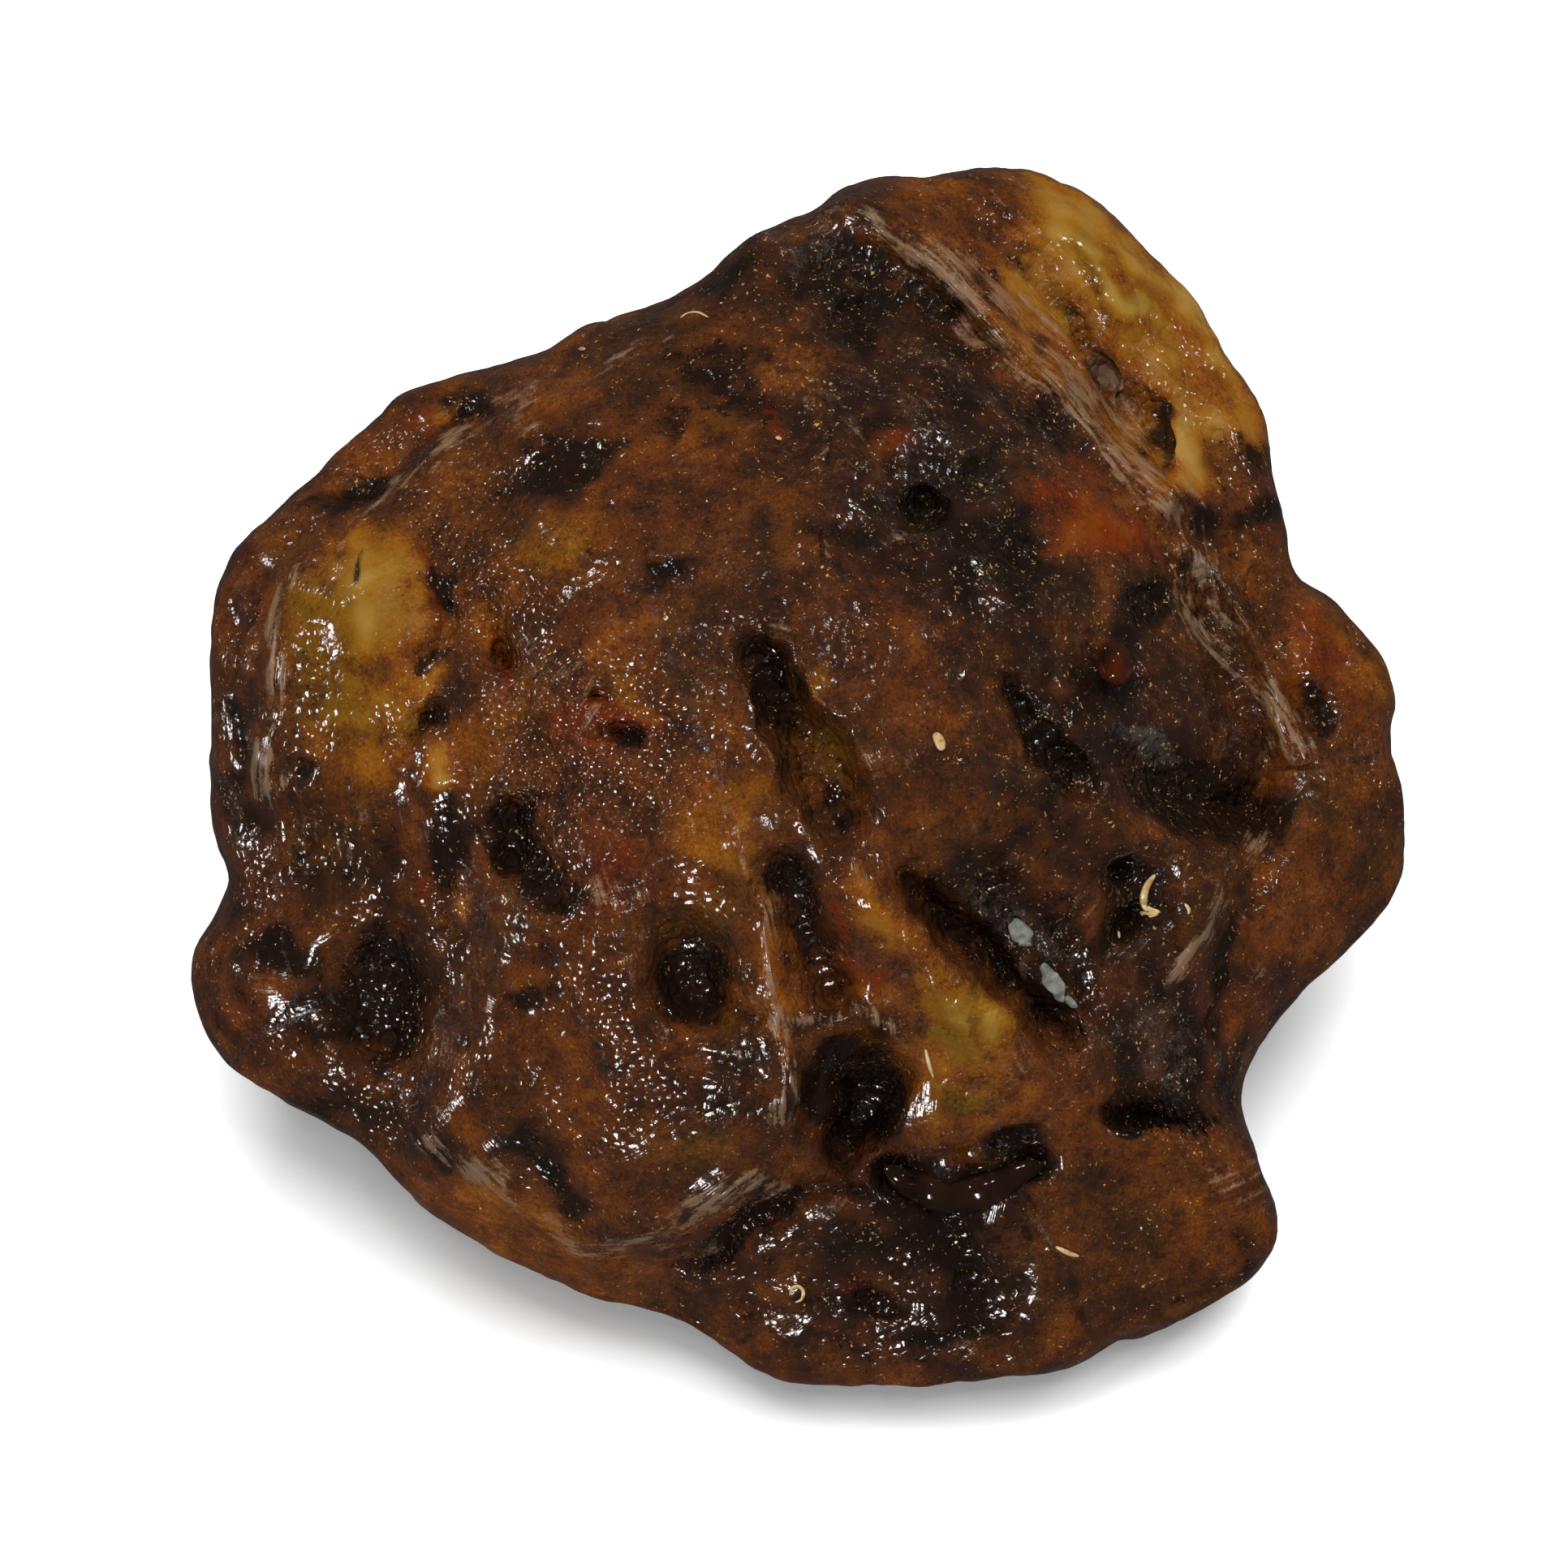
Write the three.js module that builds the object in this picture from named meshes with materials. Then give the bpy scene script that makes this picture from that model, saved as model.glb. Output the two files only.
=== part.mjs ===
// A raw amber nugget, one fossil-resin pebble with a worn crust, as one closed solid. Millimetres, +Z up.
//
// The form is drawn on the nugget's broad face, in a face frame: u runs along +X, v runs up the face and w
// points out of it. The broad face leans back, so w stands FACE_LEAN above the horizon. A closed outline is
// the widest section seen along w. In front of it the surface follows a blend of facets (a pebble's worn
// planes), ledges and hollows, and behind it a second blend of facets. The floor cuts the underside flat.
import * as THREE from "three";

// Driving dimensions
const FACE_LEAN = THREE.MathUtils.degToRad(60); // the face's outward direction above the horizon
const FLOOR_DROP = 14; // from the outline's centre straight down to the resting flat
const FLOOR_EASE = 0.5; // rounding where the body meets the resting flat
const CELLS = 21; // cells along one edge of the cube that is blown up into the pebble
const BACK_STRETCH = 0.37; // how far the mesh is crowded towards the broad face, in radians
const EDGE_FULLNESS = 0.62; // power of the rise from the outline: 1 is an ellipse, less is a fuller edge
const FACET_REACH = 2.5; // spread of a facet's say over the surface around its centre

// The widest section, seen along w, counter-clockwise from the right: [u, v].
const OUTLINE = [
  [23.3, 0], [22.8, 1.6], [22.8, 3.6], [21.9, 5.6], [20.6, 7.2], [19.4, 8.0], [18.9, 9.7], [18.6, 11.4],
  [18.4, 13.3], [17.8, 14.9], [16.6, 16.5], [15.5, 18.4], [13.6, 20.6], [11.6, 22.1], [9.4, 22.9],
  [7.4, 23.2], [5.6, 22.8], [3.9, 22.8], [2.2, 22.3], [0.8, 21.4], [-1.1, 20.7], [-2.8, 19.2],
  [-4.6, 18.1], [-7.4, 17.2], [-9.0, 16.2], [-11.5, 15.5], [-14.1, 14.8], [-16.0, 13.5], [-17.6, 12.0],
  [-19.7, 9.7], [-20.9, 7.6], [-21.4, 5.2], [-21.4, 2.5], [-21.5, 0.6], [-21.2, -1.8], [-20.8, -3.5],
  [-21.3, -4.9], [-22.2, -6.2], [-22.1, -8.0], [-21.1, -10.0], [-19.4, -11.7], [-17.1, -12.9],
  [-15.3, -14.0], [-13.1, -16.1], [-10.1, -17.8], [-7.2, -19.4], [-4.1, -20.2], [-1.0, -21.8],
  [1.5, -22.4], [4.6, -22.6], [7.6, -22.4], [10.2, -21.8], [12.4, -20.9], [15.0, -20.1], [17.2, -18.8],
  [18.4, -17.3], [18.2, -15.6], [17.4, -13.8], [17.0, -12.0], [17.6, -9.9], [19.3, -8.0], [21.3, -6.2],
  [22.8, -4.4], [23.5, -2.4],
];

// How far the outline lies out of the u-v plane: [angle in degrees, w].
const OUTLINE_DEPTH = [
  [0, -4], [25, -5], [50, -7], [75, -6], [110, -4], [150, -3], [180, -3], [210, -1.5], [245, -0.5],
  [275, 0], [305, 0], [335, -3],
];

// The broad face's facets: centre u and v, height w there, rise per millimetre along u and v.
const FRONT_FACETS = [
  { u: -4.5, v: 5, w: 10.6, du: 0.14, dv: -0.02 }, // main face
  { u: -4, v: 13, w: 8.4, du: 0.12, dv: -0.4 }, // its upper part
  { u: 2, v: 19, w: 6.4, du: 0, dv: -0.3 }, // top knob
  { u: 7, v: 11.5, w: 9.4, du: -0.22, dv: -0.25 }, // right-hand face
  { u: 12, v: 5, w: 8.6, du: -0.3, dv: -0.15 },
  { u: 4, v: -0.5, w: 11.2, du: -0.12, dv: 0.05 }, // middle
  { u: 14, v: -3.5, w: 6.8, du: -0.3, dv: 0.1 },
  { u: -11, v: 3.5, w: 8.4, du: 0.34, dv: 0 }, // slope to the left
  { u: -16, v: 5, w: 6.9, du: 0.16, dv: 0 },
  { u: -16, v: 12, w: 3, du: 0.2, dv: -0.4 }, // shelf at the upper left
  { u: -6, v: -9.5, w: 9.6, du: 0.1, dv: 0.15 }, // lower left bulge
  { u: -6.5, v: -13.2, w: 8.5, du: 0.1, dv: 0.42 },
  { u: -7, v: -17.2, w: 5, du: 0.1, dv: 1.1 },
  { u: -17, v: -7.5, w: 4.2, du: 0.2, dv: 0.1 }, // left knuckle
  { u: 6, v: -8, w: 9, du: -0.1, dv: 0.3 }, // long rib
  { u: 3, v: -18, w: 4.8, du: 0, dv: 0.45 }, // bottom lobe
  { u: 13, v: -15.5, w: 4.6, du: -0.25, dv: 0.25 }, // right foot
  { u: 20.5, v: -1, w: 1, du: -0.4, dv: 0 }, // right lobe
  { u: 18.5, v: 7, w: 1, du: -0.5, dv: -0.2 },
  { u: 12.5, v: 17, w: 0, du: -0.5, dv: -0.5 }, // upper right flank
  { u: 8, v: 20.5, w: 2.4, du: -0.5, dv: -0.5 },
];

// The hidden side's facets, with w behind the outline. The floor cuts the lowest of them.
const BACK_FACETS = [
  { u: 0, v: -14, w: -10, du: 0, dv: -0.55 },
  { u: -2, v: -4, w: -16.5, du: 0.05, dv: -0.6 },
  { u: 3, v: 5, w: -20.5, du: 0, dv: -0.2 },
  { u: -12, v: 3, w: -14.5, du: -0.45, dv: -0.2 },
  { u: 14, v: 1, w: -15.5, du: 0.45, dv: -0.2 },
  { u: 2, v: 14, w: -18, du: 0.1, dv: 0.4 },
  { u: -9, v: 12, w: -13, du: -0.3, dv: 0.3 },
  { u: 12, v: 12, w: -15, du: 0.3, dv: 0.3 },
];

// Hollows in the broad face: centre, half-lengths along and across, turn of the long axis in degrees, depth.
const HOLLOWS = [
  { u: 0.8, v: 1.6, along: 3.8, across: 1.9, turn: -66, depth: 1.3 }, // long slot
  { u: -3.3, v: -7.2, along: 2, across: 1.8, turn: 90, depth: 1.6 }, // round pit
  { u: 3, v: -11.6, along: 2.6, across: 2, turn: 75, depth: 2 }, // cave
  { u: 9, v: -6.6, along: 4.8, across: 2.1, turn: -45, depth: 1.7 }, // crevice
  { u: 5.2, v: 10.4, along: 2.4, across: 1.7, turn: 20, depth: 1.2 },
  { u: 14.5, v: -0.4, along: 3, across: 1.6, turn: -25, depth: 1.2 },
  { u: 9.2, v: 2, along: 2.4, across: 1.5, turn: -55, depth: 0.9 },
  { u: 12.9, v: -4, along: 1.7, across: 1.5, turn: 0, depth: 1.2 },
  { u: -9.2, v: -2.4, along: 2.2, across: 1.6, turn: -50, depth: 0.8 },
  { u: 2.3, v: 18.2, along: 1.9, across: 1.6, turn: 0, depth: 0.9 },
  { u: 7, v: -14.6, along: 3.6, across: 1.7, turn: 8, depth: 1.1 },
];

// Ledges: the surface drops to the right of the line, walked from its first point to its last, and rises
// again over its reach. The edge of the drop is as wide as its width, and the drop is eased away at both ends
// of the line, over a share of its length that is its taper.
const LEDGES = [
  {
    drop: 3.8,
    width: 0.6,
    reach: 5.5,
    taper: 0.15,
    line: [
      [-1, 23.5], [1, 22.2], [4, 20.3], [8, 16.5], [11.5, 13], [14.5, 9.9], [16.3, 7], [17.6, 4], [18.6, 1],
      [18, -1.5], [16.8, -4.5],
    ],
  },
  {
    drop: 1.7,
    width: 0.6,
    reach: 3,
    taper: 0.15,
    line: [
      [-3.5, 17.8], [-5.5, 16.6], [-7.5, 15.5], [-9.3, 14.7], [-11.2, 13.7], [-13, 12.5], [-14.3, 11.3],
      [-15.6, 10], [-17.6, 9],
    ],
  },
  {
    drop: 1.3,
    width: 0.6,
    reach: 3.5,
    taper: 0.15,
    line: [[-14.3, -4.6], [-13.5, -7], [-13.5, -9], [-14.1, -11]],
  },
  {
    drop: 1.2,
    width: 0.6,
    reach: 3,
    taper: 0.3,
    line: [
      [-14.2, 12.2], [-13, 10.4], [-11.8, 8.8], [-10.4, 6.8], [-9.2, 4.6], [-8.4, 2.2], [-7.6, -0.5],
      [-7.4, -3],
    ],
  },
];

/** Cubic Hermite interpolation of [angle, value] knots round a full turn, at an angle in radians. */
function aroundTurn(knots, angle) {
  const turn = 2 * Math.PI;
  const n = knots.length;
  const at = (i) => {
    const lap = Math.floor(i / n);
    const [x, y] = knots[i - lap * n];
    return [x + lap * turn, y];
  };
  const x = knots[0][0] + ((((angle - knots[0][0]) % turn) + turn) % turn);
  let i = 0;
  while (i < n - 1 && at(i + 1)[0] <= x) i += 1;
  const [[xa, ya], [x0, y0], [x1, y1], [xb, yb]] = [at(i - 1), at(i), at(i + 1), at(i + 2)];
  const span = x1 - x0;
  const t = (x - x0) / span;
  const slope0 = ((y1 - ya) / (x1 - xa)) * span;
  const slope1 = ((yb - y0) / (xb - x0)) * span;
  return (
    (2 * t ** 3 - 3 * t ** 2 + 1) * y0 +
    (t ** 3 - 2 * t ** 2 + t) * slope0 +
    (3 * t ** 2 - 2 * t ** 3) * y1 +
    (t ** 3 - t ** 2) * slope1
  );
}

const radiusKnots = OUTLINE.map(([u, v]) => [Math.atan2(v, u), Math.hypot(u, v)]).sort((a, b) => a[0] - b[0]);
const depthKnots = OUTLINE_DEPTH.map(([degrees, w]) => [THREE.MathUtils.degToRad(degrees), w]);

/** Planes blended by a bell of distance from each one's centre. */
function blendFacets(facets, u, v) {
  let total = 0;
  let weights = 0;
  for (const facet of facets) {
    const a = u - facet.u;
    const b = v - facet.v;
    const weight = Math.exp(-(a * a + b * b) / (2 * FACET_REACH ** 2)) + 1e-9;
    total += weight * (facet.w + facet.du * a + facet.dv * b);
    weights += weight;
  }
  return total / weights;
}

/** Depth of one bell-shaped hollow at a point of the face. */
function hollowDepth({ u: cu, v: cv, along, across, turn, depth }, u, v) {
  const angle = THREE.MathUtils.degToRad(turn);
  const a = ((u - cu) * Math.cos(angle) + (v - cv) * Math.sin(angle)) / along;
  const b = ((v - cv) * Math.cos(angle) - (u - cu) * Math.sin(angle)) / across;
  return depth * Math.exp(-((a * a + b * b) ** 1.5));
}

/** How far a ledge has lowered the surface: nothing on the line's left, its drop close by on the right. */
function ledgeDrop({ drop, width, reach, taper, line }, u, v) {
  const spans = line.length - 1;
  let nearest = Infinity;
  let signed = 0;
  let share = 0;
  for (let i = 0; i < spans; i += 1) {
    const [u0, v0] = line[i];
    const [du, dv] = [line[i + 1][0] - u0, line[i + 1][1] - v0];
    const length = Math.hypot(du, dv);
    const along = ((u - u0) * du + (v - v0) * dv) / length;
    const kept = THREE.MathUtils.clamp(along, 0, length);
    const away = Math.hypot(u - u0 - (du * kept) / length, v - v0 - (dv * kept) / length);
    if (away < nearest) {
      nearest = away;
      signed = (dv * (u - u0) - du * (v - v0)) / length;
      share = (i + kept / length) / spans;
    }
  }
  const ends = THREE.MathUtils.smoothstep(Math.min(share, 1 - share), 0, taper);
  return (drop * ends * Math.exp(-((nearest / reach) ** 2))) / (1 + Math.exp(-signed / width));
}

/** Height of the broad face over the u-v plane. */
function frontHeight(u, v) {
  const cut = HOLLOWS.reduce((sum, hollow) => sum + hollowDepth(hollow, u, v), 0);
  const dropped = LEDGES.reduce((sum, ledge) => sum + ledgeDrop(ledge, u, v), 0);
  return blendFacets(FRONT_FACETS, u, v) - cut - dropped;
}

/** The surface point in a direction: its polar angle from w picks the ring, its heading picks the outline. */
function surfacePoint(direction) {
  const heading = Math.atan2(direction.y, direction.x);
  const polar = Math.acos(THREE.MathUtils.clamp(direction.z, -1, 1));
  const ring = polar - BACK_STRETCH * Math.sin(polar);
  const radius = aroundTurn(radiusKnots, heading) * Math.sin(ring);
  const u = radius * Math.cos(heading);
  const v = radius * Math.sin(heading);
  const rim = aroundTurn(depthKnots, heading);
  const target = ring < Math.PI / 2 ? frontHeight(u, v) : blendFacets(BACK_FACETS, u, v);
  const w = rim + (target - rim) * Math.abs(Math.cos(ring)) ** EDGE_FULLNESS;
  const z = v * Math.cos(FACE_LEAN) + w * Math.sin(FACE_LEAN) + FLOOR_DROP;
  return new THREE.Vector3(u, v * Math.sin(FACE_LEAN) - w * Math.cos(FACE_LEAN), easeToFloor(z));
}

/** Heights under the floor become 0, and those just over it are eased into it. */
function easeToFloor(z) {
  if (z >= FLOOR_EASE) return z;
  return z <= -FLOOR_EASE ? 0 : (z + FLOOR_EASE) ** 2 / (4 * FLOOR_EASE);
}

/** A box's faces, cut into cells, blown up into the pebble: shared corners stay shared, so it is closed. */
function nuggetGeometry() {
  const cube = new THREE.BoxGeometry(2, 2, 2, CELLS, CELLS, CELLS);
  const corners = cube.getAttribute("position");
  const points = [];
  const index = new Map();
  const shared = [];
  for (let i = 0; i < corners.count; i += 1) {
    const corner = new THREE.Vector3().fromBufferAttribute(corners, i);
    const key = corner.toArray().map((x) => x.toFixed(4)).join();
    if (!index.has(key)) {
      index.set(key, points.length);
      const even = corner.toArray().map((x) => Math.tan((x * Math.PI) / 4)); // cells of even size on the ball
      points.push(surfacePoint(new THREE.Vector3(...even).normalize()));
    }
    shared.push(index.get(key));
  }
  const geometry = new THREE.BufferGeometry().setFromPoints(points);
  geometry.setIndex([...cube.index.array].map((i) => shared[i]));
  geometry.computeBoundingBox();
  const box = geometry.boundingBox;
  geometry.translate(-(box.min.x + box.max.x) / 2, -(box.min.y + box.max.y) / 2, 0);
  geometry.computeVertexNormals();
  return geometry;
}

const amber = new THREE.MeshStandardMaterial({ color: 0x5a3418, roughness: 0.35, metalness: 0 });
const nugget = new THREE.Mesh(nuggetGeometry(), amber);
nugget.name = "amber_nugget";

const part = new THREE.Group();
part.add(nugget);

export default part;
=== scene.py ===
"""A raw amber nugget with a rubbed crust, lying on a pale studio floor.

The nugget is drawn in a face frame, in millimetres: u runs along +X, v runs up the broad face and w points
out of it. The face leans back, so w stands FACE_LEAN above the horizon. Only the finished meshes are in
metres.
"""

import logging
import math
from dataclasses import dataclass, field
from enum import Enum
from itertools import product

import bpy
import numpy as np
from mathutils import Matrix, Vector


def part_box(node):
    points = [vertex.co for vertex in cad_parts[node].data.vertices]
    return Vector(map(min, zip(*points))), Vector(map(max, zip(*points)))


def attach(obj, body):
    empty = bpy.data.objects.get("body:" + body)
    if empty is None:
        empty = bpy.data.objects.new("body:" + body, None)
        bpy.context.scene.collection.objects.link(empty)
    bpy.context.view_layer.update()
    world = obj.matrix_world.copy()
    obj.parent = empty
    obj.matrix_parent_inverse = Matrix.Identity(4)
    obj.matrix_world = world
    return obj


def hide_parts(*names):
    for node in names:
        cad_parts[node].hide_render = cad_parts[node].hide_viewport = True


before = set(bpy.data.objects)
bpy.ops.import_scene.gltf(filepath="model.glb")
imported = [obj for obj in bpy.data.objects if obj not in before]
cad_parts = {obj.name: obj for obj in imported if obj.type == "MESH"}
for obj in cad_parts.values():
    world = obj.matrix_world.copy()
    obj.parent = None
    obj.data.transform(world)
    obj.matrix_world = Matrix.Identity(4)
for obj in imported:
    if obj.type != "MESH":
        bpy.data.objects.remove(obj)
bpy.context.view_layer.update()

Array = np.ndarray
Path = tuple[tuple[float, float], ...]
Row = tuple  # the numbers of one facet or mark, in the order that its class or formula takes them

LOG = logging.getLogger("amber")
NODE = "amber_nugget"
BODY = "root"
MM = 0.001
STRAND = "strand"

FACE_LEAN = math.radians(60)
FLOOR_DROP = 14.0
FLOOR_EASE = 0.5
EDGE_FULLNESS = 0.62
FACET_REACH = 2.5
FACET_FLOOR = 1e-9


class Tint(Enum):
    """What the crust's painted fields say: how thin it is, what stains it, and where it is worn pale, partly
    as painted sheen.
    """

    THIN = "thin"
    CHAR = "char"
    OLIVE = "olive"
    RED = "red"
    DUST = "dust"
    PEBBLE = "pebble"
    WORN = "worn"


class Edge(Enum):
    """How a hollow or patch ends: the power that its squared distance is raised to."""

    SOFT = 1.0
    BOWL = 1.5
    STEEP = 2.6


THIN, CHAR, OLIVE, RED, DUST, PEBBLE, WORN = Tint
SOFT, BOWL, STEEP = Edge

# paths of the face that its relief and its colours both follow
MAIN_RIDGE: Path = (
    (1, 21.4), (2.6, 21), (4.2, 19.9), (6, 18.4), (8.2, 16.2), (10, 14.6), (11.5, 12.9), (13, 11.3),
    (14.4, 9.9), (14.8, 8.5), (15, 7), (15.6, 5.8), (17, 4.2), (18.2, 2.9), (19.2, 0.9),
)
SPINE: Path = (
    (-1.9, -1.5), (-1.2, -3.5), (-0.7, -5.5), (-0.4, -7.5), (0, -9), (0.2, -10.5), (0.1, -12), (-0.1, -13.8),
)
BULGE_RIM: Path = (
    (-13.5, -12), (-11.5, -14.4), (-9.3, -16.4), (-7, -17.3), (-4, -16.6), (-1.2, -14.8), (0, -14.2),
)
RIGHT_RIDGE: Path = (
    (19.3, 0.3), (17.7, -1.7), (16.8, -3), (16, -4.7), (15, -6.2), (13.8, -7.6),
)
LOBE_GROOVE: Path = (
    (5.6, -15.2), (6.3, -16.6), (6.8, -17.8), (7.3, -19.4), (7.6, -20.6),
)
CAVE_RIM: Path = (
    (0.3, -8.9), (1.6, -8.6), (3, -8.8), (4.4, -9.5),
)
LONG_DENT: Path = (
    (-9.9, -0.4), (-9.8, -1.6), (-9.3, -2.8), (-8.4, -3.8), (-7.6, -4.4),
)
WINDOW_BORDER: Path = (
    (-14, 9.1), (-13.2, 8.1), (-12.9, 7), (-12.9, 5.6), (-13.5, 4.5),
)
RIB: Path = (
    (2.6, -3.1), (4, -4.8), (5.4, -6.8), (7, -8.6), (8, -10),
)
RIB_FOOT: Path = (
    (4.9, -6.7), (6.2, -7.9), (7.4, -8.8), (8.2, -9.6),
)
SLOT_EDGE: Path = (
    (0.3, 4.9), (0.9, 3.8), (1.8, 3),
)
UPPER_LEFT_RIDGE: Path = (
    (-3.5, 17.6), (-5.5, 16.4), (-7.5, 15.3), (-9.3, 14.5), (-11.2, 13.5), (-13, 12.3), (-14.3, 11.1),
    (-15.6, 9.9), (-17.2, 9.2), (-18.2, 7.5), (-18.9, 4.2), (-19.3, 0.3), (-18.9, -3),
)


@dataclass(frozen=True)
class Spot:
    """An oval on the face: centre, half-lengths along and across, turn in degrees, and how it ends."""

    u: float
    v: float
    along: float
    across: float
    turn: float = 0.0
    edge: Edge = BOWL

    def weight(self, u: Array, v: Array) -> Array:
        """One at the centre, falling as exp(-(a^2 + b^2)^power) with a and b in half-lengths.

        Args:
            u, v: Face coordinates, along +X and up the face, in mm.

        Returns:
            The weight at each point.
        """
        turn = math.radians(self.turn)
        a = ((u - self.u) * math.cos(turn) + (v - self.v) * math.sin(turn)) / self.along
        b = ((v - self.v) * math.cos(turn) - (u - self.u) * math.sin(turn)) / self.across
        return np.exp(-((a * a + b * b) ** self.edge.value))


@dataclass(frozen=True)
class Line:
    """A smooth line on the face, with the half-width and roundness of what follows it."""

    path: Path
    width: float
    roundness: float = 2.0
    taper: float = 0.15

    def smooth(self, steps: int = 6) -> Array:
        """Catmull-Rom points through the path.

        Args:
            steps: Points between two knots.

        Returns:
            The points, one row each.
        """
        knots = np.array(self.path, float)
        knots = np.vstack([2 * knots[0] - knots[1], knots, 2 * knots[-1] - knots[-2]])
        p0, p1, p2, p3 = (knots[i:len(knots) - 3 + i, None, :] for i in range(4))
        t = (np.arange(steps) / steps)[None, :, None]
        curve = p1 + 0.5 * t * (p2 - p0 + t * (2 * p0 - 5 * p1 + 4 * p2 - p3 + t * (3 * (p1 - p2) + p3 - p0)))
        return np.vstack([curve.reshape(-1, 2), knots[-2]])

    def measure(self, u: Array, v: Array) -> tuple[Array, Array, Array]:
        """Distance from the line, which side of it, and how far along it.

        Args:
            u, v: Face coordinates, along +X and up the face, in mm.

        Returns:
            The distance, the signed distance that is positive on the right, and the share of the line passed.
        """
        points = self.smooth()
        nearest = np.full(u.shape, np.inf)
        signed = np.zeros(u.shape)
        share = np.zeros(u.shape)
        for i, ((u0, v0), (u1, v1)) in enumerate(zip(points[:-1], points[1:])):
            du, dv = u1 - u0, v1 - v0
            length = math.hypot(du, dv)
            along = np.clip(((u - u0) * du + (v - v0) * dv) / length, 0, length)
            away = np.hypot(u - u0 - du * along / length, v - v0 - dv * along / length)
            closer = away < nearest
            nearest = np.where(closer, away, nearest)
            side = (dv * (u - u0) - du * (v - v0)) / length
            signed = np.where(closer, np.where(side < 0, -away, away), signed)
            share = np.where(closer, (i + along / length) / (len(points) - 1), share)
        return nearest, signed, share

    def weight(self, u: Array, v: Array) -> Array:
        """One on the line, falling as exp(-(distance / width)^roundness), and fading over its two ends.

        Args:
            u, v: Face coordinates, along +X and up the face, in mm.

        Returns:
            The weight at each point.
        """
        nearest, _, share = self.measure(u, v)
        ends = np.clip(np.minimum(share, 1 - share) / self.taper, 0, 1) if self.taper else np.ones(u.shape)
        return np.exp(-((nearest / self.width) ** self.roundness)) * np.sqrt(ends)


@dataclass(frozen=True)
class Ledge:
    """A drop on the right of a line, walked from its first point: none on its left or past its reach."""

    drop: float
    width: float
    reach: float
    path: Path
    taper: float = 0.15

    def depth(self, u: Array, v: Array) -> Array:
        """The drop times a step across the line and a bell of distance from it, eased away at its two ends.

        Args:
            u, v: Face coordinates, along +X and up the face, in mm.

        Returns:
            How far the ledge lowers each point, in mm.
        """
        nearest, signed, share = Line(self.path, self.width).measure(u, v)
        ends = np.clip(np.minimum(share, 1 - share) / self.taper, 0, 1)
        step = ends * ends * (3 - 2 * ends) / (1 + np.exp(-signed / self.width))
        return self.drop * step * np.exp(-((nearest / self.reach) ** 2))


@dataclass(frozen=True)
class Grain:
    """Smooth seeded noise on a lattice that repeats."""

    seed: int
    cells: int = 32

    def at(self, points: Array, size: float) -> Array:
        """The eight lattice values round each point, blended by eased fractions of a cell.

        Args:
            points: Places, one row each, in mm.
            size: Width of a lattice cell, in mm.

        Returns:
            Values between -1 and 1.
        """
        lattice = np.random.default_rng(self.seed).uniform(-1, 1, (self.cells,) * 3)
        scaled = points / size + self.seed
        base = np.floor(scaled).astype(int)
        t = scaled - base
        t = t * t * t * (t * (6 * t - 15) + 10)
        total = np.zeros(len(points))
        for corner in product((0, 1), repeat=3):
            share = np.prod(np.where(np.array(corner) == 1, t, 1 - t), axis=1)
            i, j, k = ((base + corner) % self.cells).T
            total += share * lattice[i, j, k]
        return total


@dataclass(frozen=True)
class Wander:
    """Uneven edges for marks: reach and noise sizes in mm, two seeds a coordinate, a finer noise's share."""

    reach: float
    seeds: tuple[tuple[int, int], tuple[int, int]]
    size: float
    fine_size: float
    fine_share: float

    def shift(self, u: Array, v: Array) -> tuple[Array, Array]:
        """Each coordinate plus the reach times coarse noise and a share of finer noise.

        Args:
            u, v: Face coordinates, along +X and up the face, in mm.

        Returns:
            The shifted coordinates.
        """
        flat = np.stack([u, v, np.zeros(u.shape)], axis=1)
        shifts = (
            Grain(coarse).at(flat, self.size) + self.fine_share * Grain(fine).at(flat, self.fine_size)
            for coarse, fine in self.seeds
        )
        a, b = (start + self.reach * shift for start, shift in zip((u, v), shifts))
        return a, b


def around_turn(knots: Array, angle: Array) -> Array:
    """Cubic Hermite interpolation of (angle, value) knots round a full turn.

    Args:
        knots: Rows of angle in radians, rising, and value.
        angle: Angles to read the curve at, in radians.

    Returns:
        The value at each angle.
    """
    turn = 2 * math.pi
    n = len(knots)
    lap = np.vstack([knots[-1] - (turn, 0), knots, knots[0] + (turn, 0), knots[1] + (turn, 0)])
    x = knots[0, 0] + (angle - knots[0, 0]) % turn
    i = np.clip(np.searchsorted(lap[:, 0], x, side="right") - 1, 1, n)
    (xa, ya), (x0, y0), (x1, y1), (xb, yb) = (lap[i + k].T for k in (-1, 0, 1, 2))
    span = x1 - x0
    t = (x - x0) / span
    slope0 = (y1 - ya) / (x1 - xa) * span
    slope1 = (yb - y0) / (xb - x0) * span
    rise = 3 * t**2 - 2 * t**3
    return (1 - rise) * y0 + (t**3 - 2 * t**2 + t) * slope0 + rise * y1 + (t**3 - t**2) * slope1


def blend_facets(facets: tuple[Row, ...], u: Array, v: Array) -> Array:
    """Worn planes blended by a bell of distance from each one's centre.

    Args:
        facets: For each plane, its centre's u and v, its height w there and its rise per mm along u and v.
        u, v: Face coordinates, along +X and up the face, in mm.

    Returns:
        The height at each point, in mm.
    """
    total = np.zeros(u.shape)
    weights = np.zeros(u.shape)
    for facet_u, facet_v, facet_w, rise_u, rise_v in facets:
        a, b = u - facet_u, v - facet_v
        weight = np.exp(-(a * a + b * b) / (2 * FACET_REACH**2)) + FACET_FLOOR
        total += weight * (facet_w + rise_u * a + rise_v * b)
        weights += weight
    return total / weights


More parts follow.
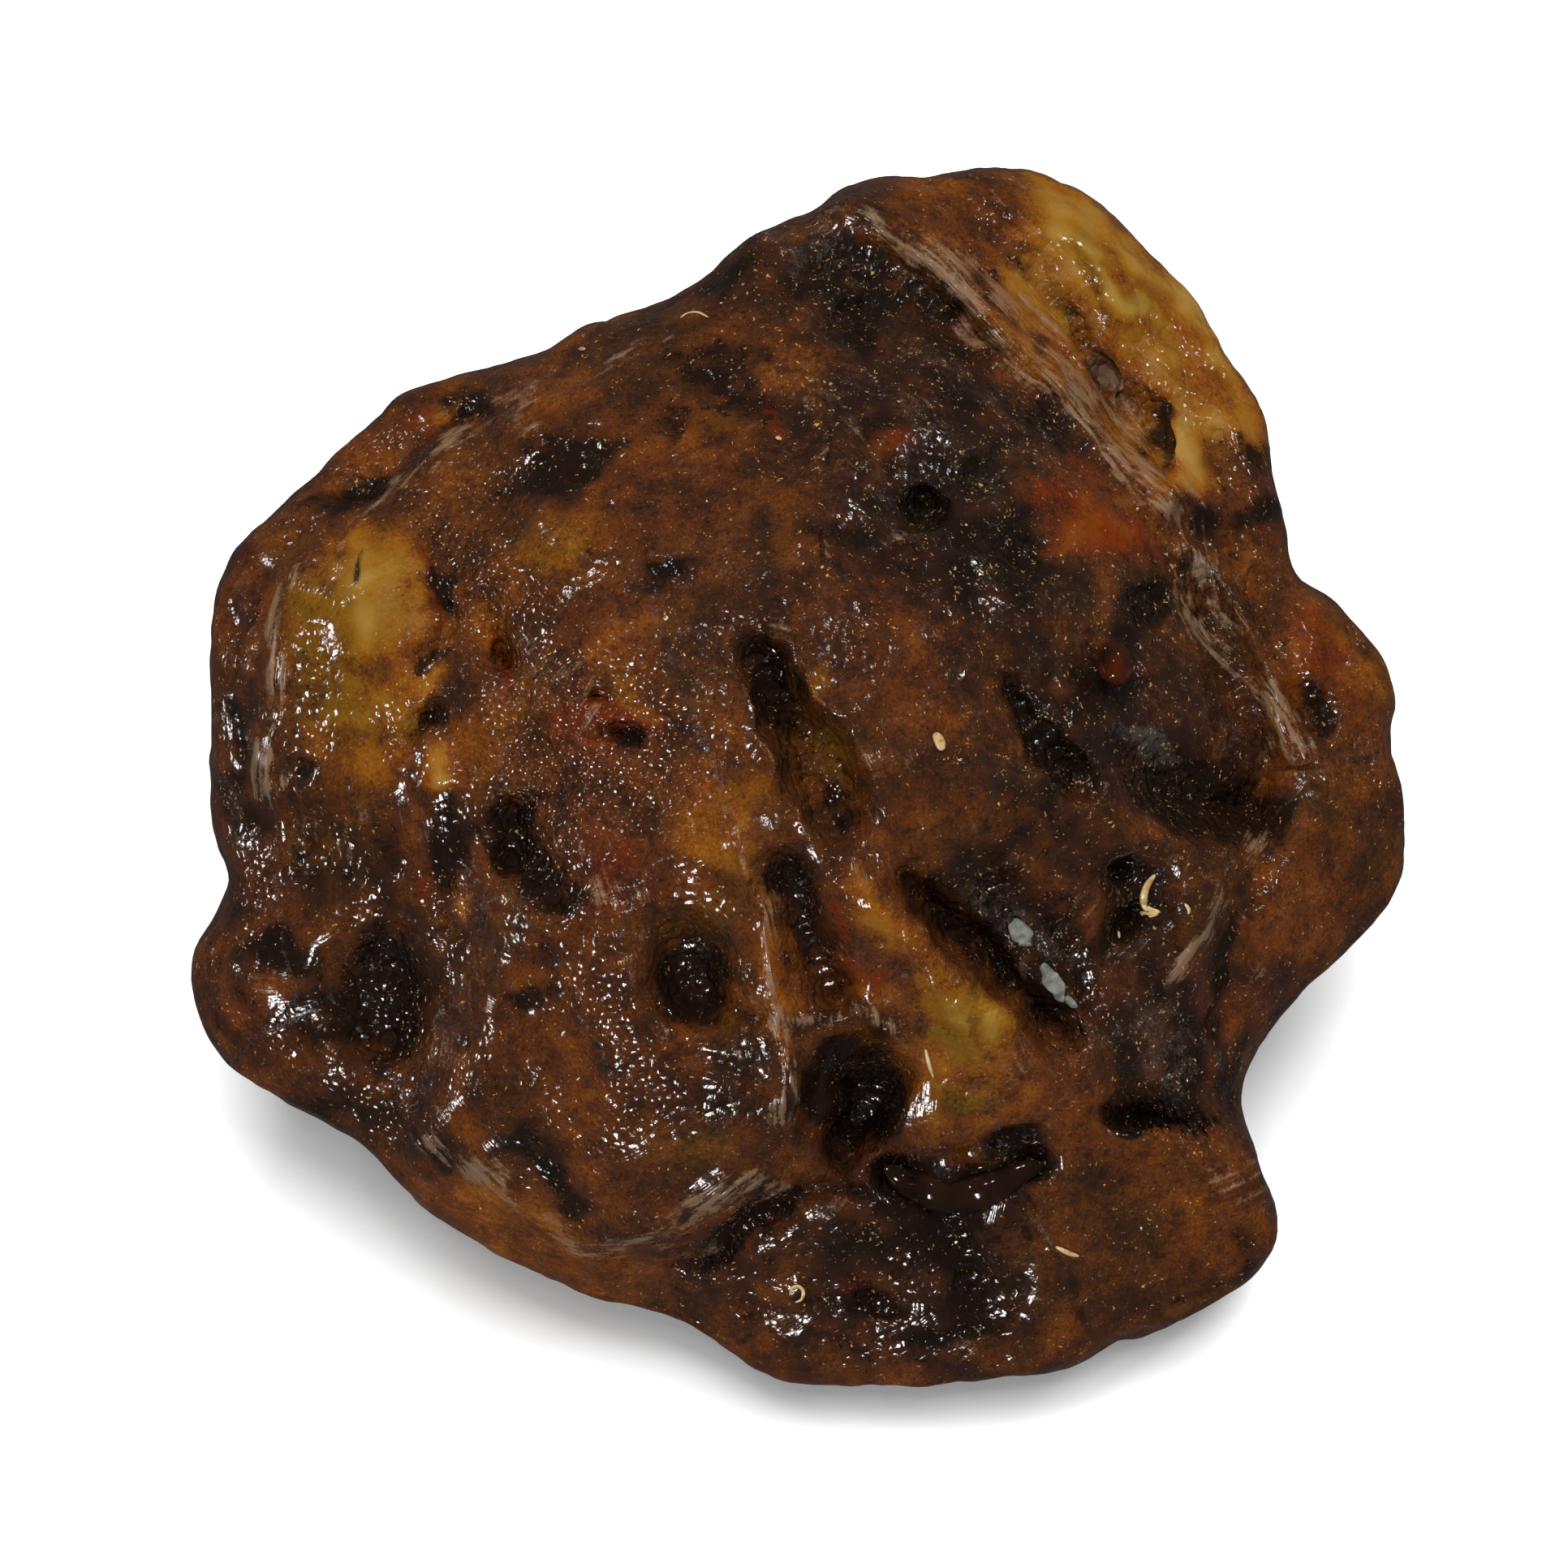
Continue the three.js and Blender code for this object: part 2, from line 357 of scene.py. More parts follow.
def new_mesh(name: str, points: Array, faces: list[list[int]]) -> bpy.types.Object:
    """A smooth-shaded mesh object at the origin.

    Args:
        name: The piece's name.
        points: Vertices, one row each, in metres.
        faces: Vertex numbers, one list a face.

    Returns:
        The object, linked to the scene.
    """
    mesh = bpy.data.meshes.new(name)
    mesh.from_pydata(points.tolist(), [], faces)
    mesh.polygons.foreach_set("use_smooth", np.ones(len(faces), bool))
    mesh.update()
    piece = bpy.data.objects.new(name, mesh)
    bpy.context.scene.collection.objects.link(piece)
    return piece


def vertex_normals(points: Array, quads: Array) -> Array:
    """Unit normals: each quad's crossed diagonals, summed at its corners.

    Args:
        points: Vertices, one row each.
        quads: Vertex numbers, four a row.

    Returns:
        One unit normal a vertex.
    """
    a, b, c, d = (points[quads[:, k]] for k in range(4))
    cross = np.cross(c - a, d - b)
    total = np.stack(
        [np.bincount(quads.ravel(), np.repeat(cross[:, k], 4), len(points)) for k in range(3)], axis=1
    )
    return total / np.linalg.norm(total, axis=1, keepdims=True)


@dataclass
class NuggetForm:
    """The nugget's form without its fine relief: an outline, facets in front of it and behind, and ledges."""

    outline: Path = (
        (23.3, 0), (22.8, 1.6), (22.8, 3.6), (21.9, 5.6), (20.6, 7.2), (19.4, 8), (18.9, 9.7), (18.6, 11.4),
        (18.4, 13.3), (17.8, 14.9), (16.6, 16.5), (15.5, 18.4), (13.6, 20.6), (11.6, 22.1), (9.4, 22.9),
        (7.4, 23.2), (5.6, 22.8), (3.9, 22.8), (2.2, 22.3), (0.8, 21.4), (-1.1, 20.7), (-2.8, 19.2),
        (-4.6, 18.1), (-7.4, 17.2), (-9, 16.2), (-11.5, 15.5), (-14.1, 14.8), (-16, 13.5), (-17.6, 12),
        (-19.7, 9.7), (-20.9, 7.6), (-21.4, 5.2), (-21.4, 2.5), (-21.5, 0.6), (-21.2, -1.8), (-20.8, -3.5),
        (-21.3, -4.9), (-22.2, -6.2), (-22.1, -8), (-21.1, -10), (-19.4, -11.7), (-17.1, -12.9),
        (-15.3, -14), (-13.1, -16.1), (-10.1, -17.8), (-7.2, -19.4), (-4.1, -20.2), (-1, -21.8),
        (1.5, -22.4), (4.6, -22.6), (7.6, -22.4), (10.2, -21.8), (12.4, -20.9), (15, -20.1), (17.2, -18.8),
        (18.4, -17.3), (18.2, -15.6), (17.4, -13.8), (17, -12), (17.6, -9.9), (19.3, -8), (21.3, -6.2),
        (22.8, -4.4), (23.5, -2.4),
    )
    outline_depth: Path = (
        (0, -4), (25, -5), (50, -7), (75, -6), (110, -4), (150, -3), (180, -3), (210, -1.5), (245, -0.5),
        (275, 0), (305, 0), (335, -3),
    )
    front: tuple[Row, ...] = (
        (-4.5, 5, 10.6, 0.14, -0.02), (-4, 13, 8.4, 0.12, -0.4), (2, 19, 6.4, 0, -0.3),
        (7, 11.5, 9.4, -0.22, -0.25), (12, 5, 8.6, -0.3, -0.15), (4, -0.5, 11.2, -0.12, 0.05),
        (14, -3.5, 6.8, -0.3, 0.1), (-11, 3.5, 8.4, 0.34, 0), (-16, 5, 6.9, 0.16, 0), (-16, 12, 3, 0.2, -0.4),
        (-6, -9.5, 9.6, 0.1, 0.15), (-6.5, -13.2, 8.5, 0.1, 0.42), (-7, -17.2, 5, 0.1, 1.1),
        (-17, -7.5, 4.2, 0.2, 0.1), (6, -8, 9, -0.1, 0.3), (3, -18, 4.8, 0, 0.45),
        (13, -15.5, 4.6, -0.25, 0.25),
        (20.5, -1, 1, -0.4, 0), (18.5, 7, 1, -0.5, -0.2), (12.5, 17, 0, -0.5, -0.5),
        (8, 20.5, 2.4, -0.5, -0.5),
    )
    back: tuple[Row, ...] = (
        (0, -14, -10, 0, -0.55), (-2, -4, -16.5, 0.05, -0.6), (3, 5, -20.5, 0, -0.2),
        (-12, 3, -14.5, -0.45, -0.2),
        (14, 1, -15.5, 0.45, -0.2), (2, 14, -18, 0.1, 0.4), (-9, 12, -13, -0.3, 0.3), (12, 12, -15, 0.3, 0.3),
    )
    ledges: tuple[Ledge, ...] = (
        Ledge(3.8, 0.3, 5.5, ((-1, 23.5), (1, 22.2), (4, 20.3), (8, 16.5), (11.5, 13), (14.5, 9.9), (16.3, 7),
              (17.6, 4), (18.6, 1), (18, -1.5), (16.8, -4.5))),
        Ledge(1.7, 0.35, 3, ((-3.5, 17.8), (-5.5, 16.6), (-7.5, 15.5), (-9.3, 14.7), (-11.2, 13.7),
              (-13, 12.5), (-14.3, 11.3), (-15.6, 10), (-17.6, 9))),
        Ledge(1.3, 0.3, 3.5, ((-14.3, -4.6), (-13.5, -7), (-13.5, -9), (-14.1, -11))),
        Ledge(1.2, 0.4, 3, ((-14.2, 12.2), (-13, 10.4), (-11.8, 8.8), (-10.4, 6.8), (-9.2, 4.6), (-8.4, 2.2),
              (-7.6, -0.5), (-7.4, -3)), 0.3),
    )

    def __post_init__(self) -> None:
        """Turns the outline and its depth into knots of angle and value."""
        points = np.array(self.outline)
        knots = np.stack([np.arctan2(points[:, 1], points[:, 0]), np.hypot(*points.T)], axis=1)
        self.radius_knots = knots[np.argsort(knots[:, 0])]
        self.depth_knots = np.array(self.outline_depth, float) * (math.pi / 180, 1)

    def front_height(self, u: Array, v: Array) -> Array:
        """Height of the broad face over the u-v plane: blended facets less the ledges' drops.

        Args:
            u, v: Face coordinates, along +X and up the face, in mm.

        Returns:
            The height at each point, in mm.
        """
        return blend_facets(self.front, u, v) - sum(ledge.depth(u, v) for ledge in self.ledges)

    @staticmethod
    def world(u: Array, v: Array, w: Array) -> Array:
        """Face coordinates as world places: the face turned back to its lean and raised off the floor.

        Args:
            u, v: Face coordinates, along +X and up the face, in mm.
            w: Height out of the face, in mm.

        Returns:
            Places, one row each, in mm, before the nugget is centred.
        """
        lean_cos, lean_sin = math.cos(FACE_LEAN), math.sin(FACE_LEAN)
        return np.stack([u, v * lean_sin - w * lean_cos, v * lean_cos + w * lean_sin + FLOOR_DROP], axis=1)


@dataclass
class Relief:
    """The broad face's fine relief: hollows, bosses, folds and small ledges, as heights over the form."""

    wander: Wander = Wander(0.26, ((3, 9), (4, 10)), 1.5, 0.7, 0.4)
    strength: float = 1.3
    spots: tuple[Row, ...] = (
        # the long slot, with its dark upper end, and the round pit
        (-1.3, 1.35, 0.5, 2.5, 1.2, -66, STEEP), (-1.2, -0.35, 3.5, 1.75, 0.8, -70),
        (-1.6, -3.4, -7, 2.1, 1.4, 95),
        # the cave and its surround
        (-1, 2.6, -11.6, 2.6, 1.7, 75), (-2.4, 3.2, -11.4, 1.5, 1.05, 70, STEEP),
        (-1.3, 2.2, -13.1, 1, 0.6, 80),
        # the crevice's wide bed and its deepest place
        (-1.3, 8.7, -5.8, 4.4, 1.8, -44), (-0.9, 10, -8.6, 1.1, 0.5, -35),
        # the three-cornered hollow at the right, and the pit below it
        (-1.3, 15, -0.3, 3, 1.4, -28), (-0.7, 16.4, -1.1, 1.3, 0.8, -20), (-1, 13, -4.2, 1.9, 1.45, 70),
        (-0.8, 12.35, -3.1, 0.5, 0.45, 0, STEEP), (-0.9, 12.6, -5.2, 0.85, 0.5, 80, STEEP),
        (-0.5, 9.2, 3.1, 1.3, 1, -60),
        # the slit in the foot
        (-1.6, 13.5, -12.3, 1.35, 0.5, -8, STEEP), (-0.7, 15.4, -12.4, 1, 0.3, -12),
        # the right-hand face's hole, its surround and the dents about it
        (-0.8, 4.7, 10.8, 2.3, 1.5, 25), (-1.5, 5.25, 10.05, 0.8, 0.6, 25), (-0.5, 7.4, 11.7, 1.3, 0.5, 40),
        (-0.5, 4.3, 8.3, 0.7, 0.55), (-0.6, 8.9, 8.5, 1.2, 0.9, -30), (-0.7, 13.5, 6.5, 0.7, 0.8, 0, STEEP),
        (-0.4, 10.6, 9.4, 1.6, 0.5, -20), (-0.7, 2.3, 18.3, 1.9, 1.5, -60), (-0.5, 1.3, 19.2, 0.5, 0.4),
        (-0.5, 2.5, 17.6, 0.7, 0.45), (-0.35, -2.2, 14.6, 1.6, 0.9, -15),
        # the glossy blister in its dent
        (-0.5, 12.2, 4.5, 1.35, 1.15), (0.95, 12.3, 4.5, 0.8, 0.72, 0, STEEP),
        # dents of the main face
        (-0.75, -8.3, 11.6, 2.3, 0.85, 17), (-0.3, -4.3, 7.9, 0.6, 0.5), (-0.25, -4.9, 7.2, 0.4, 0.35),
        (-0.6, -10.35, 4.6, 0.65, 0.35, 95), (-0.5, -5.9, 1.8, 0.75, 0.3, -12), (-0.4, -6.7, 3.2, 0.45, 0.3),
        (0.3, -7.5, 3.6, 0.5, 0.4), (0.3, -6.6, 2.4, 0.5, 0.35, 30), (0.3, -8.8, 3, 0.6, 0.4, 30),
        # the cloudy window's swelling and the small one below it
        (0.6, -15.3, 6, 3.4, 2.3, 78), (0.35, -12.8, 0.8, 0.9, 0.75, 90), (-0.6, -13.4, 2.5, 1, 0.4, 35),
        (-0.5, -18, 0.6, 0.6, 0.5), (-0.55, -12.3, -2.6, 1.9, 0.75, 93), (-0.35, -12.3, -5.4, 0.7, 0.3, -40),
        (-0.6, -10.1, -2.9, 0.55, 0.6), (-0.3, -9.8, -8.3, 0.6, 0.5),
        # the left-hand dent and knuckle
        (-0.9, -14.9, -7.8, 3.2, 1.7, 88), (0.6, -20.2, -7.6, 2.2, 1.8, 30), (-0.5, -18.9, -6.2, 1.1, 0.9),
        (-0.5, -16, 10.8, 1.5, 0.6, 15), (-0.4, -12, 13.5, 0.9, 0.4, 15),
        # the bottom lobe
        (0.5, 1.9, -16.5, 1.6, 1.3), (-0.6, 3.5, -19.2, 0.9, 0.5, -10), (-0.45, -1.3, -19.2, 0.5, 0.7),
        (0.3, 0.45, -18.9, 0.5, 0.5), (0.25, 10.4, -17.3, 0.7, 0.4, -10), (0.4, 10, -16, 2.2, 1.4, 0, SOFT),
        (-0.5, 17, -16.8, 0.9, 0.7),
        # the flank behind the main ridge and the right lobe
        (-1, 11.9, 15.3, 0.7, 0.4, -65), (-0.7, 14.1, 12.6, 1.3, 0.4, 100), (0.5, 15.3, 12.2, 1.8, 0.9, 105),
        (0.7, 12.5, 19.4, 3, 1.4, -50), (-0.6, 19.5, 2.7, 1, 1.1), (-0.4, 17.9, -6, 0.8, 0.7),
        (0.6, 19.8, 5.8, 1.6, 1.4, -50),
    )
    lines: tuple[Row, ...] = (
        # the main ridge, and its outer branch
        (0.55, MAIN_RIDGE, 1.1, 1.1, 0.05),
        (0.35, ((14.4, 9.9), (15.5, 8.7), (16.6, 7.5), (17.4, 6.2), (18.2, 4.6), (19, 2.8), (19.4, 1.2)),
         0.7, 1.1),
        # layers in the flank behind it
        (-0.3, ((3.5, 22), (5.5, 21), (7.5, 19.3), (9.3, 17.3), (10.8, 15.6), (11.6, 14.6)), 0.3),
        (-0.25, ((5, 22.5), (6.8, 21.3), (8.6, 19.5), (10.3, 17.5), (11.8, 15.9)), 0.3),
        (0.4, ((5.5, 22.9), (7.2, 22.2), (8.5, 21.2), (10, 19.2), (11.5, 17.3), (12.8, 15.8), (14, 14.8),
         (15.5, 13.8), (17, 12.7), (18.3, 11.2)), 0.6, 1.1),
        (-0.35, ((13, 18.5), (14.5, 16.8), (16, 15.2), (17.3, 13.7)), 0.35),
        (0.3, ((13.5, 15.1), (13.4, 14), (13.6, 13), (14, 12), (14.4, 10.8)), 0.35, 1.2),
        # the valley between the body and the right lobe
        (-1, ((14.8, 10.3), (15.5, 9.6), (16.5, 8.9), (17.3, 8.1)), 0.7),
        (-0.8, ((17.3, 8.2), (18.3, 6.4), (19, 4.6), (19.7, 2.8), (20.2, 1.6)), 0.8),
        (-0.7,
         ((19.8, 0), (18.4, -1.2), (17.5, -2.9), (16.9, -4.6), (16.4, -6.5), (16.2, -8.5), (16.5, -10.5)),
         0.7),
        (0.4, RIGHT_RIDGE, 0.55), (0.3, ((19.4, 0.4), (20.3, -0.3), (21, -1.3), (21.4, -2.6)), 0.5, 1.2),
        # the spine down the middle, and the rim of the lower left bulge
        (0.5, SPINE, 0.6),
        (0.5, ((-13.5, -11.5), (-11.5, -14), (-9.3, -16), (-7, -16.9), (-4.8, -16.6), (-2.8, -15.5),
         (-1.2, -14.6), (0.2, -14.2)), 0.8),
        (-0.3, ((-4.6, -10.3), (-3.2, -10.1), (-1.6, -10.8), (-0.6, -11.6)), 0.3),
        (-0.35, ((-2.4, -7.7), (-1.4, -8.4), (-0.7, -8.9)), 0.3),
        # the crease under it and round the bottom lobe
        (-1.1, ((-4.5, -18.2), (-3.2, -17.8), (-2.2, -17.6), (-1.6, -16.8), (-0.8, -15.8), (0.3, -14.9)),
         0.5),
        (-0.5, ((0.1, -15), (1.2, -14.7), (2.3, -14.7), (3.4, -15)), 0.35), (-0.7, LOBE_GROOVE, 1.1),
        (0.9, ((-6.8, -3), (-6.2, -7), (-5.9, -11), (-5.9, -15), (-6.2, -19)), 2.4, 2, 0.25),
        (-0.45, ((4.8, -20.9), (6.4, -20.4), (7.8, -20.8), (8.6, -21.8)), 0.3),
        # the slot's lip
        (0.3, ((0.2, 4.8), (0.8, 3.7), (1.7, 2.9), (2.7, 2.1)), 0.28),
        (0.3, ((-1.5, 4.6), (-1.2, 2.8), (-0.6, 1.2), (0.3, -0.6), (1.3, -2)), 0.35),
        # the glossy lips under the cave
        (-1.4, ((3.6, -13.7), (4.4, -14.5), (5.8, -14.9), (7.4, -14.7), (8.8, -14.1), (9.9, -13.4)), 0.62),
        (1.15, ((4.6, -14.6), (5.8, -14.7), (7, -14.5), (8.2, -14.2), (9.2, -13.7)), 0.42),
        (-0.6, ((6.2, -14), (7.6, -13.5), (8.8, -12.9), (9.8, -12.7)), 0.2),
        # the crevice's cut, and the long rib on its left
        (-1.7, ((4.2, -3.2), (5.5, -4.8), (6.9, -6), (8.2, -7.5), (9.4, -8.8), (10.9, -9.6)), 0.6),
        (0.8, ((2, -3), (3.6, -4.6), (5, -6.2), (6.6, -7.8), (8, -9.3), (9.4, -10.8)), 1.1),
        (-0.3, ((9.3, -4.8), (10.3, -6.2), (11.2, -7.8), (12, -9.2)), 0.25),
        (-0.3, ((6.5, -3.4), (8, -4.6), (9.2, -6.2), (10.3, -7.9)), 0.25),
        # the dark band beside the rib, and the rim over the cave
        (-1, ((-0.4, -2.6), (0.2, -4.2), (0.7, -5.8), (1.6, -7.2), (2.7, -8)), 0.8), (0.35, CAVE_RIM, 0.4),
        # the crescent groove, and the rib beside it
        (-1, ((8.1, 4), (8.5, 2.8), (9.3, 1.6), (10.3, 0.4), (11.1, -0.7)), 0.6),
        (0.35, ((11.3, 1.3), (11.9, 0.2), (12.9, -0.9), (14, -1.9), (15.4, -2.6)), 0.5),
        # where the right-hand face meets the main one
        (-0.35, ((-1, 15.2), (0, 13.6), (1, 12), (1.8, 10.4), (2.6, 8.6), (3.5, 6.9), (3.4, 5.6)), 0.6),
        # folds of the main face
        (-0.5, ((-11.2, 7.2), (-10.9, 6), (-10.5, 4.7), (-10.3, 3.9)), 0.4), (-1.1, LONG_DENT, 0.85),
        (0.3,
         ((-13.8, 11.6), (-12.6, 9.9), (-11.3, 8.2), (-9.9, 6), (-8.9, 4), (-8.1, 1.5), (-7.4, -1), (-7, -4)),
         0.7, 1.3),
        # round the cloudy window: its border, its left edge and the lip below
        (-0.4, ((-14.2, 9.3), (-13.2, 8.3), (-12.7, 7), (-12.6, 5.6), (-13.3, 4.4)), 0.35),
        (0.4, ((-17.6, 9), (-18.2, 7.5), (-18.6, 5.8), (-18.9, 4.2), (-18.6, 2.9), (-19.2, 1.8), (-19.3, 0.3),
         (-18.9, -1), (-18.9, -3)), 0.4, 1.2),
        (0.3, ((-14.6, 1.7), (-13.9, 2.9), (-13.1, 3.6), (-12.4, 3.6)), 0.25),
        (-0.3, ((-20.4, 8.5), (-20.2, 6), (-20.3, 3.5), (-20, 1)), 0.3),
        # slits under the rim
        (-0.4, ((-12.5, -13.9), (-11.9, -15), (-11.2, -16)), 0.2),
        (-0.3, ((-13.6, -13.3), (-12.9, -14.6), (-12.4, -15.4)), 0.18),
    )
    ledges: tuple[Ledge, ...] = (
        Ledge(1.2, 0.25, 3.5, ((5.5, 23.2), (7.2, 22.4), (8.6, 21.3), (10.1, 19.3), (11.7, 17.4), (12.9, 16),
              (14.2, 15), (15.7, 13.9), (17.1, 12.8), (18.5, 11.2))),
        Ledge(0.8, 0.2, 1.5, ((13.6, 15), (13.5, 14), (13.7, 13), (14.1, 12), (14.5, 10.8))),
        Ledge(1.1, 0.25, 2.5, ((-17, 10), (-18.3, 7.5), (-19, 4.5), (-19.4, 1), (-19.1, -3.5))),
        Ledge(0.5, 0.4, 3.5, ((3.4, 5.6), (3.5, 6.9), (2.6, 8.6), (1.8, 10.4), (1, 12), (0, 13.6))),
    )

    def height(self, u: Array, v: Array) -> Array:
        """Sum of every oval and fold, less the small ledges, on coordinates that wander by smooth noise.

        Args:
            u, v: Face coordinates, along +X and up the face, in mm.

        Returns:
            The height to add at each point, in mm.
        """
        a, b = self.wander.shift(u, v)
        total = sum(amount * Spot(*row).weight(a, b) for amount, *row in self.spots)
        total += sum(amount * Line(*row).weight(a, b) for amount, *row in self.lines)
        return self.strength * (total - sum(ledge.depth(a, b) for ledge in self.ledges))


